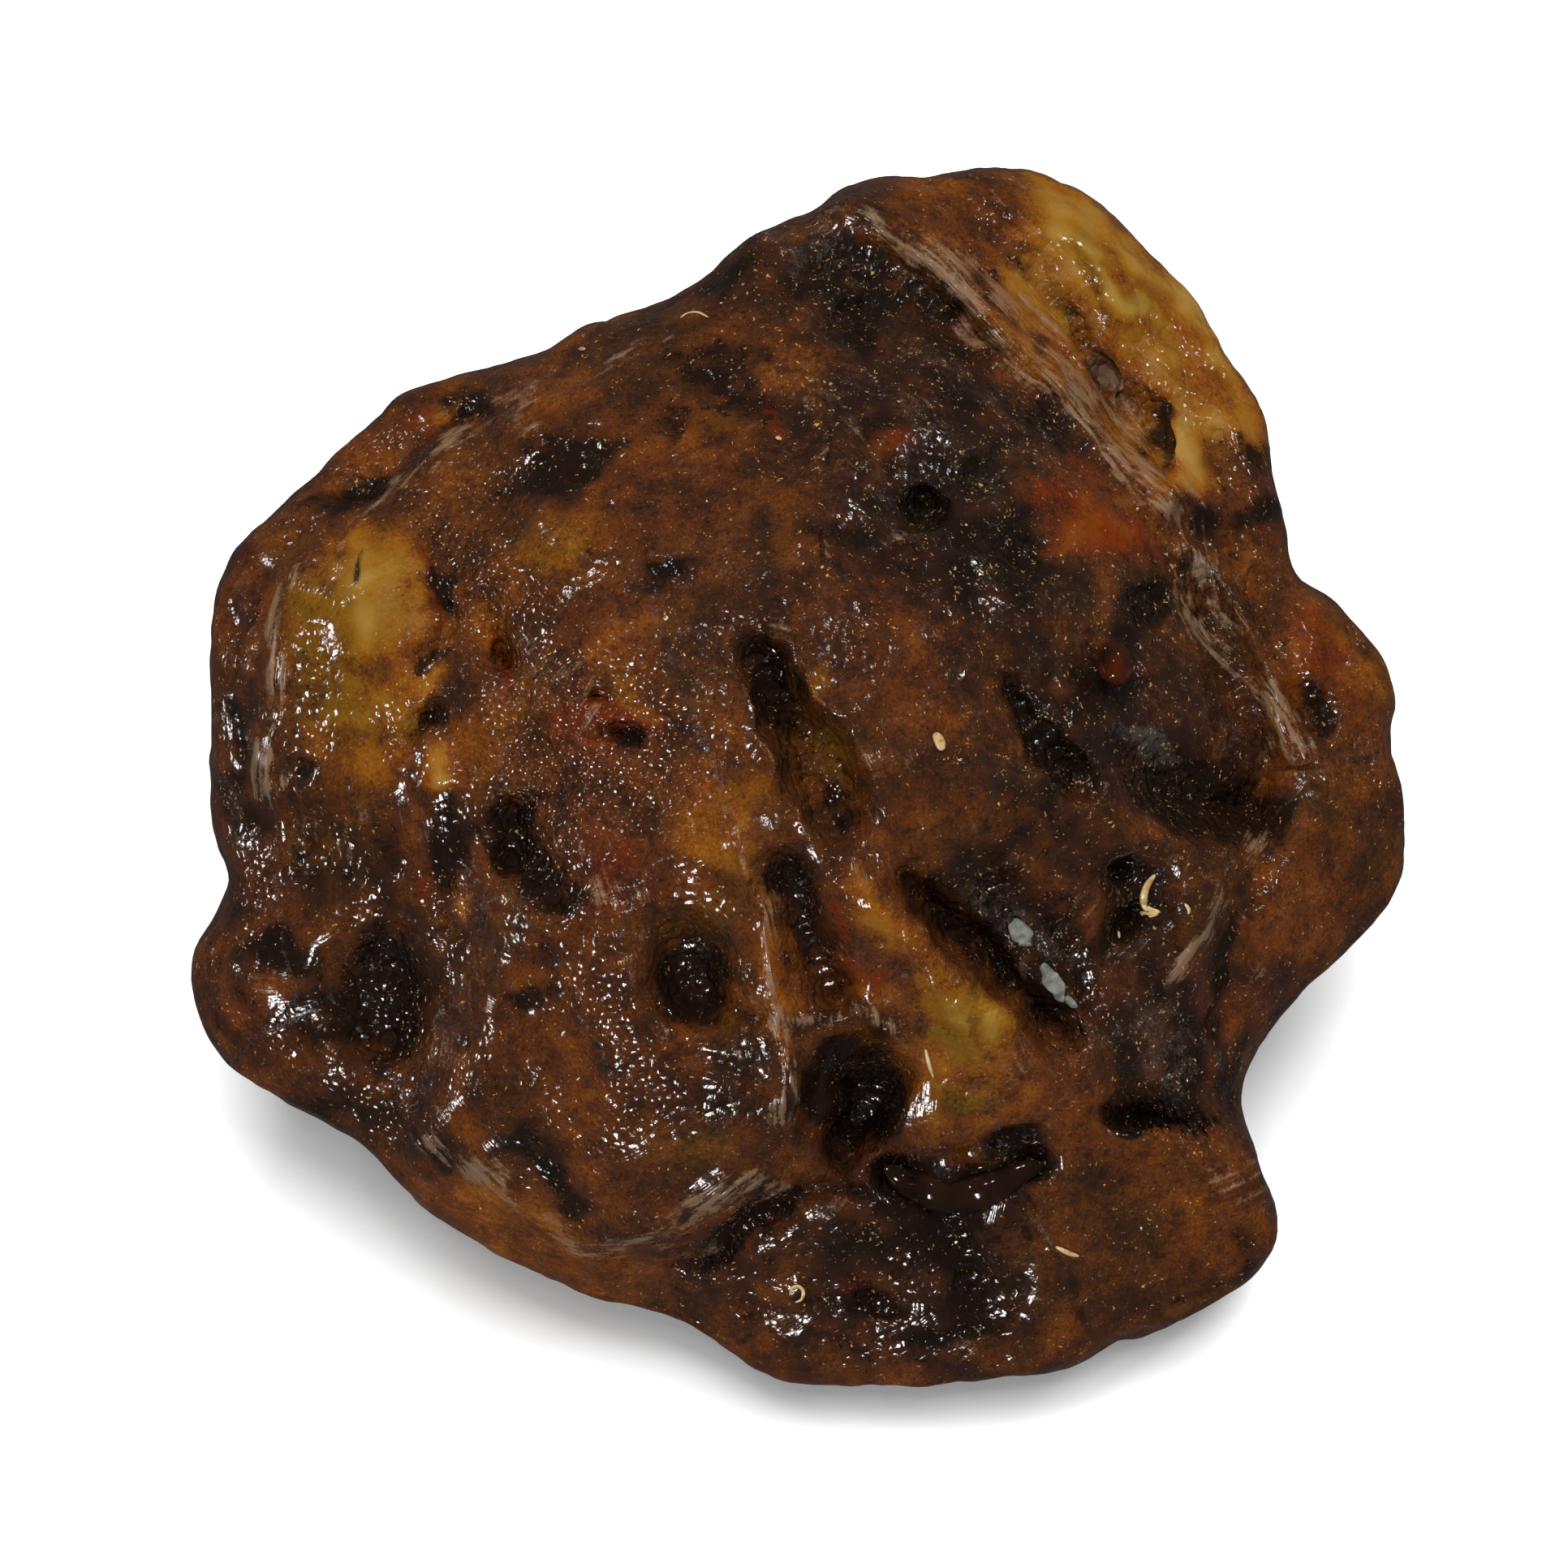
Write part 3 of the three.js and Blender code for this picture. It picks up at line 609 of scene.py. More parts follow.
@dataclass
class Paint:
    """The crust's painted fields over the broad face, each mark laid over the ones before it."""

    wander: Wander = Wander(0.5, ((5, 6), (7, 8)), 1.4, 0.5, 0.5)
    thread_stretch: float = 7.0
    ridge_gap: float = 5.0
    ridges: tuple[Path, ...] = (MAIN_RIDGE, UPPER_LEFT_RIDGE, SPINE, BULGE_RIM, RIGHT_RIDGE)
    ground: tuple[tuple[Tint, float], ...] = (
        (THIN, 0.27), (CHAR, 0.0), (OLIVE, 0.0), (RED, 0.0), (DUST, 0.0),
        (PEBBLE, 0.25), (WORN, 0.0),
    )
    stains: tuple[Row, ...] = (
        # the right-hand face is darker and dustier, and so is the block at its right
        (DUST, 0.3, 5.5, 13, 10, 5.5, -50, STEEP), (DUST, 0.25, 12, 2, 6, 5, -50),
        (THIN, 0.14, 5.5, 13, 10, 5.5, -50, STEEP), (CHAR, 0.42, 5.5, 14, 9, 5, -50),
        (CHAR, 0.35, 4.5, 7.5, 4, 3, -50), (THIN, 0.14, 13, 2, 6, 5, -50, STEEP),
        (CHAR, 0.3, 12, 5, 5, 4, -50), (PEBBLE, 1, -6.5, 1.5, 4, 3.5),
        (PEBBLE, 1, ((-13.5, 11), (-12, 9), (-10, 6), (-9, 3), (-9, -2), (-7, -6)), 1.6),
        (PEBBLE, 0.7, ((-7, -5), (-6.4, -9), (-6.4, -14)), 1.8), (PEBBLE, 0.4, -6.7, -12.4, 1.1, 2.2),
        # honey and olive places of the main face
        (THIN, 0.5, -8.3, 8.4, 2.4, 1.5, -15), (OLIVE, 0.45, -8.8, 8.7, 1.9, 1.1, -15),
        (THIN, 0.42, -6.5, 6.3, 2.2, 1.6, -30), (THIN, 0.44, -2, -0.8, 1.5, 2.8),
        (THIN, 0.6, ((-7.6, 5), (-6.3, 4), (-5.2, 3), (-4.5, 2.2)), 0.35), (THIN, 0.36, -9, 13.8, 2.6, 1, 10),
        (THIN, 0.36, -8.5, 3, 2.2, 2.6, 20), (RED, 0.4, -6.5, 2.2, 2.6, 1.8, -20),
        (RED, 0.25, -6.3, -2, 2.2, 2.6),
        (THIN, 0.36, -3, -13.2, 2.2, 1, 5), (OLIVE, 0.6, -3, -13.4, 1.8, 0.9, 5),
        (CHAR, 0.4, ((-4.2, -11), (-2.8, -12), (-1.2, -11.6)), 0.6),
        # the cloudy window at the left
        (THIN, 0.44, -15.7, 5.2, 4, 2.6, 76), (OLIVE, 0.65, -16.6, 4.2, 3.2, 1.8, 80),
        (CHAR, 0.45, -17.3, 5.5, 2.8, 0.9, 80), (THIN, 0.96, -15.2, 6.9, 2.5, 1.9, 88),
        (OLIVE, 0.3, -14.9, 6.6, 2, 1.2, 88), (CHAR, 0, -14.9, 6.6, 2.3, 1.3, 88, STEEP),
        (PEBBLE, 0.05, -14.9, 6.4, 3.2, 1.7, 88, STEEP),
        (PEBBLE, 0.45, ((-17.2, 8.6), (-17.5, 6), (-17.4, 3), (-17, 0.5), (-15.6, -1.5)), 0.9),
        (THIN, 0.4, -12, 10, 1.4, 1.6, 30), (THIN, 0.6, -15.4, 3.2, 1.4, 0.9, 30),
        (THIN, 0.4, WINDOW_BORDER, 0.45),
        (THIN, 0.6, -17.1, 5.4, 1.2, 3.2), (OLIVE, 0.6, -17.1, 5.4, 1.3, 3.3),
        (RED, 0.5, WINDOW_BORDER, 0.35),
        (CHAR, 0.62, ((-16.3, 7.2), (-15.7, 7.9), (-15.1, 8.6)), 0.22),
        (CHAR, 0.75, -12.55, 6.7, 1.3, 0.55, 100),
        (THIN, 0.2, -12.5, 6.9, 1.6, 0.6, 100), (CHAR, 0.6, ((-13.6, 3.9), (-12.9, 4.5), (-12.2, 4.9)), 0.25),
        (THIN, 0.68, ((-14.6, 1.6), (-13.9, 2.9), (-13.1, 3.7), (-12.5, 3.7)), 0.35),
        (CHAR, 0.85, -13.4, 2.4, 1.1, 0.45, 35),
        # the small cream spot and the honey about it
        (THIN, 0.5, -12.2, 0.9, 1.9, 1.1), (THIN, 1, -12.8, 0.75, 0.7, 0.55, 90),
        (THIN, 0.5, -15.6, 0.6, 1.5, 0.8),
        (THIN, 0.58, -13.9, -1.6, 1, 0.5, 80), (THIN, 0.55, -15.7, -2.3, 0.7, 0.5),
        (RED, 0.5, -13.3, -3.4, 1.2, 0.35, 100), (CHAR, 0.7, -12.2, -2.6, 2.2, 0.85, 93),
        (THIN, 0.55, -12.4, -5.5, 0.9, 0.3, -40), (THIN, 0.72, -11.7, -4.8, 0.5, 0.25, 90),
        (OLIVE, 0.4, -16.5, -2.5, 2.5, 1.5), (THIN, 0.42, -16.6, -2, 2.4, 1.1),
        (WORN, 0.5, -16.8, -2, 2.4, 1.1), (CHAR, 0.65, -18, 0.5, 0.7, 0.6),
        # the left-hand dent and knuckle
        (PEBBLE, 0.35, -18.6, -8.2, 3.6, 3.6), (THIN, 0.2, -18.6, -7.2, 3.6, 3.6),
        (CHAR, 0.3, -18.6, -7.2, 3.2, 3),
        (CHAR, 0.68, -14.9, -7.7, 3.4, 1.9, 88), (CHAR, 0.72, -18.9, -6.2, 1.4, 1),
        (THIN, 0.32, -20, -8.3, 1.5, 1.2), (RED, 0.35, -19.8, -8, 1.2, 0.8),
        (THIN, 0.3, -17.2, -10.4, 1.8, 0.8, -30),
        (CHAR, 0.5, ((-18.9, 8.6), (-20, 6), (-20.2, 3), (-20.1, 0), (-19.8, -3)), 0.9),
        (DUST, 0.35, ((-18.9, 8.6), (-20.3, 6), (-20.6, 3), (-20.5, 0), (-20.2, -3)), 0.8),
        # pale lines along the window's left edge and the upper left ridge: partly wear, partly painted sheen
        (WORN, 0.72, ((-17.2, 9.6), (-18.2, 7.5), (-18.7, 5.8), (-18.9, 4.2), (-18.7, 2.9), (-19.2, 1.8),
         (-19.3, 0.3), (-18.9, -1), (-18.9, -3)), 0.35),
        (WORN, 0.72, ((-3.5, 17.6), (-5.5, 16.4), (-7.5, 15.3), (-9.3, 14.5), (-11.2, 13.5), (-13, 12.3),
         (-14.3, 11.1), (-15.6, 9.9), (-17.2, 9.2)), 0.5),
        # the upper left shelf
        (THIN, 0.32, ((-17.4, 11.6), (-15, 12.9), (-12.4, 14), (-11, 14.6)), 1),
        (RED, 0.5, ((-17, 11.8), (-15, 12.8), (-12.4, 14)), 0.8), (THIN, 0.58, -12.2, 14.2, 0.9, 0.4, 20),
        (CHAR, 0.95, -16.1, 10.6, 1.8, 0.7, 20), (CHAR, 0.7, -12, 13.5, 1, 0.4, 15),
        # dark dents of the main face
        (CHAR, 0.9, -8.2, 11.7, 2.7, 1.1, 17), (CHAR, 1, -4.4, 7.9, 0.95, 0.8),
        (CHAR, 0.6, -4.9, 7.1, 0.6, 0.4),
        (CHAR, 0.75, -2.5, 15, 2.8, 1.5, -12), (CHAR, 0.5, -4.5, 13.4, 1.6, 0.7),
        (CHAR, 0.95, LONG_DENT, 1.05),
        (CHAR, 0.6, -10.1, -2.9, 0.6, 0.7), (THIN, 0.34, -3.3, -6.8, 2.8, 2.1, 95),
        (OLIVE, 0.7, -3.4, -5.4, 1.6, 1.1), (CHAR, 0.9, -3.2, -7.2, 1.8, 1.25, 95, STEEP),
        (CHAR, 0.7, ((-2.4, -7.7), (-1.4, -8.4), (-0.8, -8.8)), 0.35),
        (THIN, 0.45, ((-11.2, 7), (-10.8, 5.8), (-10.5, 4.6)), 0.5), (RED, 0.9, -10.4, 4.9, 1.5, 0.45, 98),
        (CHAR, 0.6, -10.35, 4.5, 0.6, 0.3, 95), (CHAR, 0.6, -5.9, 1.8, 0.7, 0.3, -12),
        (CHAR, 0.55, -9.8, -8.3, 0.7, 0.5),
        # the lower left bulge
        (CHAR, 0.85, ((-10.3, -12.6), (-8.8, -14.2), (-7.2, -16.3)), 1.1),
        # paler under the bulge's rim and along the rim itself: partly thinner crust and wear, partly painted
        # light where the rim faces down, away from the lamps
        (THIN, 0.54, ((-12.5, -14.8), (-11, -16), (-9, -17.4), (-6.6, -18.3), (-4, -18)), 1.5),
        (WORN, 0.75, BULGE_RIM, 0.7), (CHAR, 0, -5.6, -11.5, 1.6, 4.5), (THIN, 0.29, -5.8, -11, 2.6, 5.5),
        (THIN, 0.2, -3.2, -11, 2, 1.6), (THIN, 0.42, -7.4, -12, 1.2, 2.6, 10),
        (THIN, 0.28, -12.2, -8.8, 2, 3),
        (THIN, 0.1, ((-18.5, -11), (-16, -11.8), (-14, -12.2), (-12.4, -13.6)), 2),
        (PEBBLE, 0.35, ((-18.5, -11), (-16, -11.8), (-14, -12.2), (-12.4, -12), (-12.6, -9)), 1.6),
        (CHAR, 0.4, ((-18.5, -11.4), (-16, -12.4), (-14, -13), (-12.4, -14)), 1.6),
        # the spine, the dark band and its burnt edge
        # pale lines on the spine and the cave's rim: partly wear, partly painted sheen
        (WORN, 0.58, SPINE, 0.5), (WORN, 0.5, CAVE_RIM, 0.4),
        (THIN, 0.5, ((-1.9, -1.5), (-1.2, -3.5), (-0.7, -5.5), (-0.4, -7.5), (0, -9)), 0.6),
        (THIN, 0.62, -0.2, -9.4, 1, 0.5, 90),
        (CHAR, 0.72, ((-0.5, -2.7), (0.2, -4.2), (0.7, -5.8), (1.7, -7.2), (2.5, -7.9)), 1),
        (RED, 0.7, ((1.5, -4), (2, -5.2), (2.8, -6.7), (3.9, -7.8)), 0.4),
        (THIN, 0.5, ((2.6, -7), (3.6, -8), (4.8, -8.6)), 0.5),
        # the rib: orange, cream, then olive
        (CHAR, 0, RIB, 1, 3), (RED, 0, RIB, 1, 3),
        (THIN, 0.6, ((2.1, -3), (3.2, -4.4), (4.3, -5.7), (5.3, -7)), 0.7, 3), (THIN, 0.78, RIB_FOOT, 0.8, 3),
        (OLIVE, 0.5, RIB_FOOT, 0.8, 3), (THIN, 0.55, 8.8, -10.8, 1.5, 1.1, -45),
        (THIN, 0.58, 6.2, -10.6, 1.9, 2, 0, STEEP), (CHAR, 0, 6.3, -10.9, 1.8, 2.2, 0, STEEP),
        (OLIVE, 1, 6.2, -9.5, 1.4, 0.7, -15), (OLIVE, 1, 6.5, -11.7, 1.5, 0.8),
        (THIN, 0.35, 6.9, -10.5, 1.4, 0.3, -10), (THIN, 0.66, 5.5, -12.9, 1.2, 0.65, -10),
        (THIN, 0.6, 7.5, -12.9, 1.4, 0.4, 15), (THIN, 0.45, 10.2, -12, 1.3, 1.6),
        (CHAR, 0.5, ((4.4, -3.5), (5.4, -4.7), (6.4, -5.8), (7.6, -7.1)), 0.3),
        # the crevice and the dark saddle beyond it
        (CHAR, 0.85, 8.8, -5.5, 4.8, 1.7, -44, STEEP), (DUST, 0.5, 8.4, -4.9, 3.6, 1.1, -44),
        (CHAR, 0.68, 14.2, -9.6, 3.6, 2.4, -60, STEEP), (DUST, 0.45, 14.2, -9.2, 3.6, 2.4, -60),
        (CHAR, 0.5, 12.5, -6.8, 1.6, 1.2, -45), (THIN, 0.32, 7.2, -1.4, 3, 1.2, -10),
        # the cave, the lips and the slit
        (THIN, 0.4, 2.6, -9.3, 1.6, 0.5), (OLIVE, 0.6, 3, -9.5, 1.4, 0.5, -10),
        (CHAR, 0.7, 1.6, -11, 1.9, 1.3, 75),
        (CHAR, 0.95, 2.9, -11.7, 2.4, 1.5, 72, STEEP), (CHAR, 0.55, 5.6, -16.6, 3.6, 3.2),
        (CHAR, 1, ((3.5, -13.8), (4.5, -14.6), (6, -14.8), (7.6, -14.5), (9, -14), (10, -13.4)), 0.9, 3),
        (PEBBLE, -0.2, ((4.2, -14.4), (5.8, -14.7), (7, -14.5), (8.2, -14.2), (9.2, -13.7)), 0.9),
        (CHAR, 1, 13.5, -12.35, 1.4, 0.55, -8, STEEP), (CHAR, 0.8, 15.4, -12.4, 1.1, 0.35, -12),
        (THIN, 0.5, 13.8, -13.1, 1, 0.25, -10),
        # hollows at the right
        (CHAR, 0.9, 15.3, -0.4, 3.4, 1.6, -26), (DUST, 0.85, 13.4, 1.3, 1.6, 0.6, -25),
        (CHAR, 0.7, ((8.2, 3.9), (8.7, 2.8), (9.4, 1.7), (10.2, 0.6), (10.9, -0.6)), 0.9),
        (CHAR, 0.6, 10, 2.8, 1.6, 1.2, -30), (CHAR, 0.8, 12.4, -3.2, 0.7, 0.55),
        (CHAR, 0.85, 12.6, -5.2, 1, 0.6, 80), (CHAR, 0.75, 12.8, -4.2, 1.9, 1.4, 70),
        (CHAR, 0.55, 10, -2.4, 3.6, 1.9, -40), (CHAR, 0.6, 13, -5.6, 2.6, 1.8, -60),
        (THIN, 0.27, 14.3, -2.3, 1.6, 0.8, -30), (CHAR, 0, 14.3, -2.3, 1.6, 0.8, -30),
        # the right-hand face
        (CHAR, 0.9, 5, 10.3, 2.7, 1.4, 20), (CHAR, 0.85, 7.5, 11.7, 1.4, 0.5, 40),
        (CHAR, 0.75, 8.8, 8.4, 2, 1.4, -30), (CHAR, 0.7, 6.2, 8, 2.2, 1.2), (CHAR, 0.75, 13.4, 6.6, 1.1, 1),
        (CHAR, 0.6, 2.8, 13.4, 1.6, 2.2, -20), (CHAR, 0.6, 7.2, 15.8, 2.2, 1.2, -40),
        (CHAR, 0.8, 2.2, 18.4, 2.1, 1.7, -60), (CHAR, 0.5, -1.3, 19.4, 2.6, 0.9, 30),
        (DUST, 0.4, 0.5, 20.2, 3, 1.4, -10), (CHAR, 0.1, 1, 14.5, 1.6, 2.4, 10),
        (CHAR, 0.7, 4, 14.2, 1.4, 1.2),
        (THIN, 0.27, 0.2, 14, 1.6, 2.4, 10), (THIN, 0.42, 2.4, 18.5, 0.6, 0.4),
        (CHAR, 0.2, 2.4, 18.5, 0.5, 0.35),
        (THIN, 0.42, 4.2, 12.4, 0.9, 1.1), (RED, 0.6, 4.2, 12.4, 1.2, 1.4),
        (THIN, 0.4, -0.4, 13.7, 0.5, 1.2, 10),
        (RED, 0.6, -0.4, 13.7, 0.6, 1.2, 10), (THIN, 0.34, 10.4, 10.6, 2.4, 1.6, -10),
        (CHAR, 0.1, 11.2, 9.9, 2.3, 1.5, -10, STEEP), (RED, 0.35, 10.2, 11, 2.2, 1.2, -10),
        (DUST, 0, 11.3, 9.6, 2.4, 1.6, -15), (WORN, -0.4, 11.3, 9.6, 2.4, 1.6, -15),
        (RED, 1, 11.3, 9.6, 2, 1.1, -15), (THIN, 0.7, 11.7, 9.6, 1.4, 0.8, -15),
        (RED, 0.9, 11.7, 9.6, 1.4, 0.9, -15), (CHAR, 0, 11.5, 9.7, 1.5, 0.8, -15),
        (CHAR, 0.9, 12.2, 4.3, 1.5, 1.3),
        (RED, 0.6, 12.3, 4.5, 0.8, 0.7), (THIN, 0.44, 12.3, 4.5, 0.7, 0.6), (CHAR, 0.45, 12.3, 4.5, 0.6, 0.5),
        (DUST, -0.5, 12.3, 4.4, 1, 0.9, 0, STEEP), (WORN, -1, 12.3, 4.4, 1.1, 1),
        (PEBBLE, -0.15, 12.3, 4.4, 1.1, 1),
        # the slot
        (CHAR, 0.7, -0.35, 3.6, 1.9, 0.75, -70), (CHAR, 0.05, 1.3, 0.5, 2.5, 1.2, -66, STEEP),
        (THIN, 0.52, 1.6, 0.9, 1.8, 0.9, -66), (OLIVE, 0.7, 1.6, 1, 2.2, 1.1, -66),
        (CHAR, 0.9, 2, -1.2, 0.9, 0.6, -50), (THIN, 0.55, SLOT_EDGE, 0.4), (OLIVE, 0.6, SLOT_EDGE, 0.5),
        # layers of the flank, and the honey bulge behind them
        (CHAR, 0, 11, 18.5, 8, 3.6, -50, STEEP), (THIN, 0.44, 8, 19, 6.5, 2, -50, STEEP),
        (RED, 0.3, 7, 19.5, 5, 1.2, -50),
        (THIN, 0.56, ((8.5, 18.2), (10, 16.6), (12.3, 14.2), (14, 11.8), (15, 10.4)), 1.4),
        # pale bands and lines along the main ridge, its flank and the right ridge: partly wear, partly
        # painted sheen
        (WORN, 0.6,
         ((8.5, 18), (10.3, 16.3), (12.2, 14.2), (13.8, 11.8), (15.2, 9.3), (16.5, 7), (17.6, 4.6)), 1.3),
        (WORN, 0.75, ((5, 20.6), (7.4, 18.8), (9.3, 17), (11, 15.2), (12.6, 13.2), (14, 11.2)), 0.4),
        (WORN, 0.7, ((8.2, 18.8), (10, 17), (11.6, 15.3), (12.9, 13.6)), 0.35),
        (CHAR, 0.6, ((6.2, 19.2), (8.4, 17.2), (10.3, 15.3), (12, 13.4), (13.6, 11.4)), 0.35),
        (CHAR, 0, ((1, 21.4), (4.2, 19.9), (6, 18.4), (8.2, 16.2), (10, 14.6), (13, 11.3)), 0.6),
        (WORN, 0.85, MAIN_RIDGE, 0.4), (WORN, 0.7, RIGHT_RIDGE, 0.5),
        (THIN, 0.64, ((7.6, 20.4), (8.8, 19.2), (10, 17.9), (11.2, 16.7)), 0.5),
        (THIN, 0.84, 13.4, 18.4, 6.8, 2.2, -50, STEEP), (THIN, 1, 12.3, 19.4, 2.2, 1.1, -48),
        (OLIVE, 0.55, 12, 19.2, 2.4, 1.1, -48),
        (THIN, 0.6, ((11.4, 21.2), (13.2, 19.2), (14.9, 16.8), (16.4, 14.6)), 0.4),
        (RED, 0.5, ((10.2, 21.6), (12.2, 19.8), (14, 17.6), (15.5, 15.4)), 0.5),
        (THIN, 0.55, ((9, 21.8), (10.8, 20), (12, 18.4), (13.8, 16.4)), 0.35),
        (RED, 0.35, 15.6, 16.2, 2.4, 1, -50),
        (THIN, 0.74, 16.6, 13.2, 1.6, 1.4, -50), (CHAR, 0.35, 8, 22.4, 1.6, 0.6, -20),
        (CHAR, 0.6, 17.9, 12.4, 0.7, 1.2, 20), (THIN, 0.86, 15.3, 12.2, 1.9, 0.65, 105),
        (CHAR, 0.85, 14.1, 12.7, 1.2, 0.35, 98), (CHAR, 0.4, 11.9, 15.2, 0.8, 0.35, -65),
        (CHAR, 0.6, 15.7, 9.3, 1, 1.5), (THIN, 0.24, 15.6, 8.9, 0.9, 1.5), (CHAR, 0.75, 18, 9.9, 0.9, 0.8),
        (CHAR, 0.5, 4.2, 21.7, 1, 0.4, -20),
        # the right lobe
        (THIN, 0.34, 20.5, 0, 3.2, 8, 0, STEEP),
        # darker towards the right lobe's outer rim
        (THIN, 0.2, ((22.4, 2.5), (22.6, -1), (22.2, -3.8), (20.4, -6.8), (18.4, -8.8)), 1.4),
        (THIN, 0.38, 19.9, 5.8, 1.6, 1.3, -50), (RED, 0.5, 19.9, 5.4, 2, 1.5, -50),
        (CHAR, 0.85, 19.7, 2.5, 1.1, 1.1, 30), (CHAR, 0.4, 18.3, 5.8, 0.5, 2, 30),
        (WORN, 0.8, 18, 2.8, 0.8, 1.8, 20), (CHAR, 0.65, 18.5, -1.3, 1.1, 0.6, 50),
        (THIN, 0.3, 19.3, -5.5, 1.6, 0.9, 10), (RED, 0.35, 19, -5.6, 1.8, 1),
        (CHAR, 0.65, 17.6, -6.1, 0.5, 0.6),
        (CHAR, 0.5, ((17.4, -3), (16.8, -4.8), (16.4, -6.6), (16.3, -8.5)), 0.4),
        (WORN, 0.3, ((17.8, -8.6), (17.1, -10.4), (17, -12.4), (17.6, -14.4), (18, -16)), 0.9),
        # the foot and the bottom lobe
        (THIN, 0.3, 12.5, -16.5, 5, 3, 10, STEEP), (THIN, 0.17, 3, -19, 4.5, 2.6),
        (CHAR, 0.4, 3, -19, 4, 2.2),
        (PEBBLE, 0.35, 5, -17.5, 5, 3.5), (THIN, 0.12, 7, -17, 2.4, 3.2), (CHAR, 0.6, 6.5, -15.5, 3, 1.4),
        (THIN, 0.2, 11, -10, 1.6, 1.4), (CHAR, 0.65, 17.2, -16.8, 1.1, 0.8),
        (CHAR, 0.55, 15.8, -18.6, 2.6, 0.6, 28), (THIN, 0.42, 9.6, -16.6, 1.9, 1.2),
        (CHAR, 0.5, 1.9, -16.6, 1.9, 1.4), (DUST, 0.3, 1.6, -16.3, 1.6, 1.2),
        (CHAR, 0.9, ((-3, -18.2), (-1.8, -16.8), (-0.7, -15.6), (0.3, -14.9)), 0.7),
        (RED, 0.7, ((-2.2, -18), (-1.3, -16.8), (-0.4, -15.6)), 0.7), (CHAR, 0.75, LOBE_GROOVE, 1.2, 1.3),
        (CHAR, 0.9, 3.4, -19.2, 1, 0.5, -10), (RED, 0.5, 3, -19, 1.4, 0.7, -10),
        (THIN, 0.45, 0.3, -18.9, 1.2, 0.9), (CHAR, 0.45, 5.5, -20.6, 2, 0.5),
    )

    def strand(self, u: Array, v: Array) -> Array:
        """Coordinates across and along the nearest ridge's threads, the second shortened by their stretch.

        Args:
            u, v: Face coordinates, along +X and up the face, in mm.

        Returns:
            One row a point, in mm; the third number tells the ridges apart.
        """
        best = np.full(u.shape, np.inf)
        place = np.zeros((len(u), 3))
        for number, path in enumerate(self.ridges):
            ridge = Line(path, 1)
            nearest, signed, share = ridge.measure(u, v)
            length = np.hypot(*np.diff(ridge.smooth(), axis=0).T).sum()
            apart = np.full(u.shape, self.ridge_gap * number)
            row = np.stack([signed, share * length / self.thread_stretch, apart], axis=1)
            place = np.where((nearest < best)[:, None], row, place)
            best = np.minimum(nearest, best)
        return place

    def fields(self, u: Array, v: Array) -> dict[Tint, Array]:
        """Each field at its ground level, then moved to each mark's level by the mark's weight.

        Args:
            u, v: Face coordinates, along +X and up the face, in mm.

        Returns:
            One array a field.
        """
        a, b = self.wander.shift(u, v)
        made = {tint: np.full(u.shape, level) for tint, level in self.ground}
        for tint, level, *row in self.stains:
            area = Line(*row) if isinstance(row[0], tuple) else Spot(*row)
            made[tint] += area.weight(a, b) * (level - made[tint])
        return made


@dataclass(frozen=True)
class Mottle:
    """Cloudy variation of one painted field: its seed, its clouds' size in mm, and how far it swings."""

    tint: Tint
    seed: int
    size: float
    swing: float


@dataclass
class HiddenSide:
    """Dents and stains of the sides and back, scattered by a seeded draw over places and sizes."""

    seed: int = 11
    dents: int = 70
    stains: int = 60
    dent_size: tuple[float, float] = (0.8, 3.2)
    stain_size: tuple[float, float] = (1.0, 4.0)
    dent_depth: float = 0.28
    edge: Edge = BOWL
    levels: tuple[float, float] = (0.35, 0.5)
    calmer: tuple[tuple[Tint, float], ...] = ((DUST, 0.3), (RED, 0.6))
    pebble: float = 0.5
    soft_rounds: int = 50

    def dent(self, points: Array, share: Array) -> Array:
        """Round bells of depth at drawn places of the hidden surface, deeper where they are wider.

        Args:
            points: Surface places, in mm.
            share: How far each place belongs to the hidden side, 0 to 1.

        Returns:
            The depth to sink each place by, in mm.
        """
        draw = np.random.default_rng(self.seed)
        homes = points[draw.choice(len(points), self.dents, p=share / share.sum())]
        sizes = self.dent_size[0] + (self.dent_size[1] - self.dent_size[0]) * draw.random(self.dents) ** 2
        total = np.zeros(len(points))
        for home, size in zip(homes, sizes):
            near = np.sum((points - home) ** 2, axis=1) / size**2
            total += self.dent_depth * size * np.exp(-(near**self.edge.value))
        return total * share

    def stain(self, points: Array, share: Array, fields: dict[Tint, Array]) -> None:
        """Moves each field towards a drawn level round drawn places of the hidden surface.

        Args:
            points: Surface places, in mm.
            share: How far each place belongs to the hidden side, 0 to 1.
            fields: The painted fields, changed in place.
        """
        draw = np.random.default_rng(self.seed + 1)
        homes = points[draw.choice(len(points), self.stains, p=share / share.sum())]
        kinds = draw.choice([CHAR, CHAR, THIN, RED, OLIVE, DUST], self.stains)
        for home, kind in zip(homes, kinds):
            size = self.stain_size[0] + (self.stain_size[1] - self.stain_size[0]) * draw.random() ** 2
            level = (self.levels[0] + self.levels[1] * draw.random()) * dict(self.calmer).get(kind, 1.0)
            near = np.sum((points - home) ** 2, axis=1) / size**2
            weight = np.exp(-(near**self.edge.value)) * share
            fields[kind] += weight * (level - fields[kind])


def linear(red: float, green: float, blue: float) -> tuple[float, float, float, float]:
    """A display colour, 0 to 255 a channel, as linear light with full alpha."""
    levels = np.array([red, green, blue]) / 255
    light = np.where(levels <= 0.04045, levels / 12.92, ((levels + 0.055) / 1.055) ** 2.4)
    return (*light.tolist(), 1.0)


Socket = bpy.types.NodeSocket
Value = float | Socket
Colour = tuple[float, float, float, float] | Socket


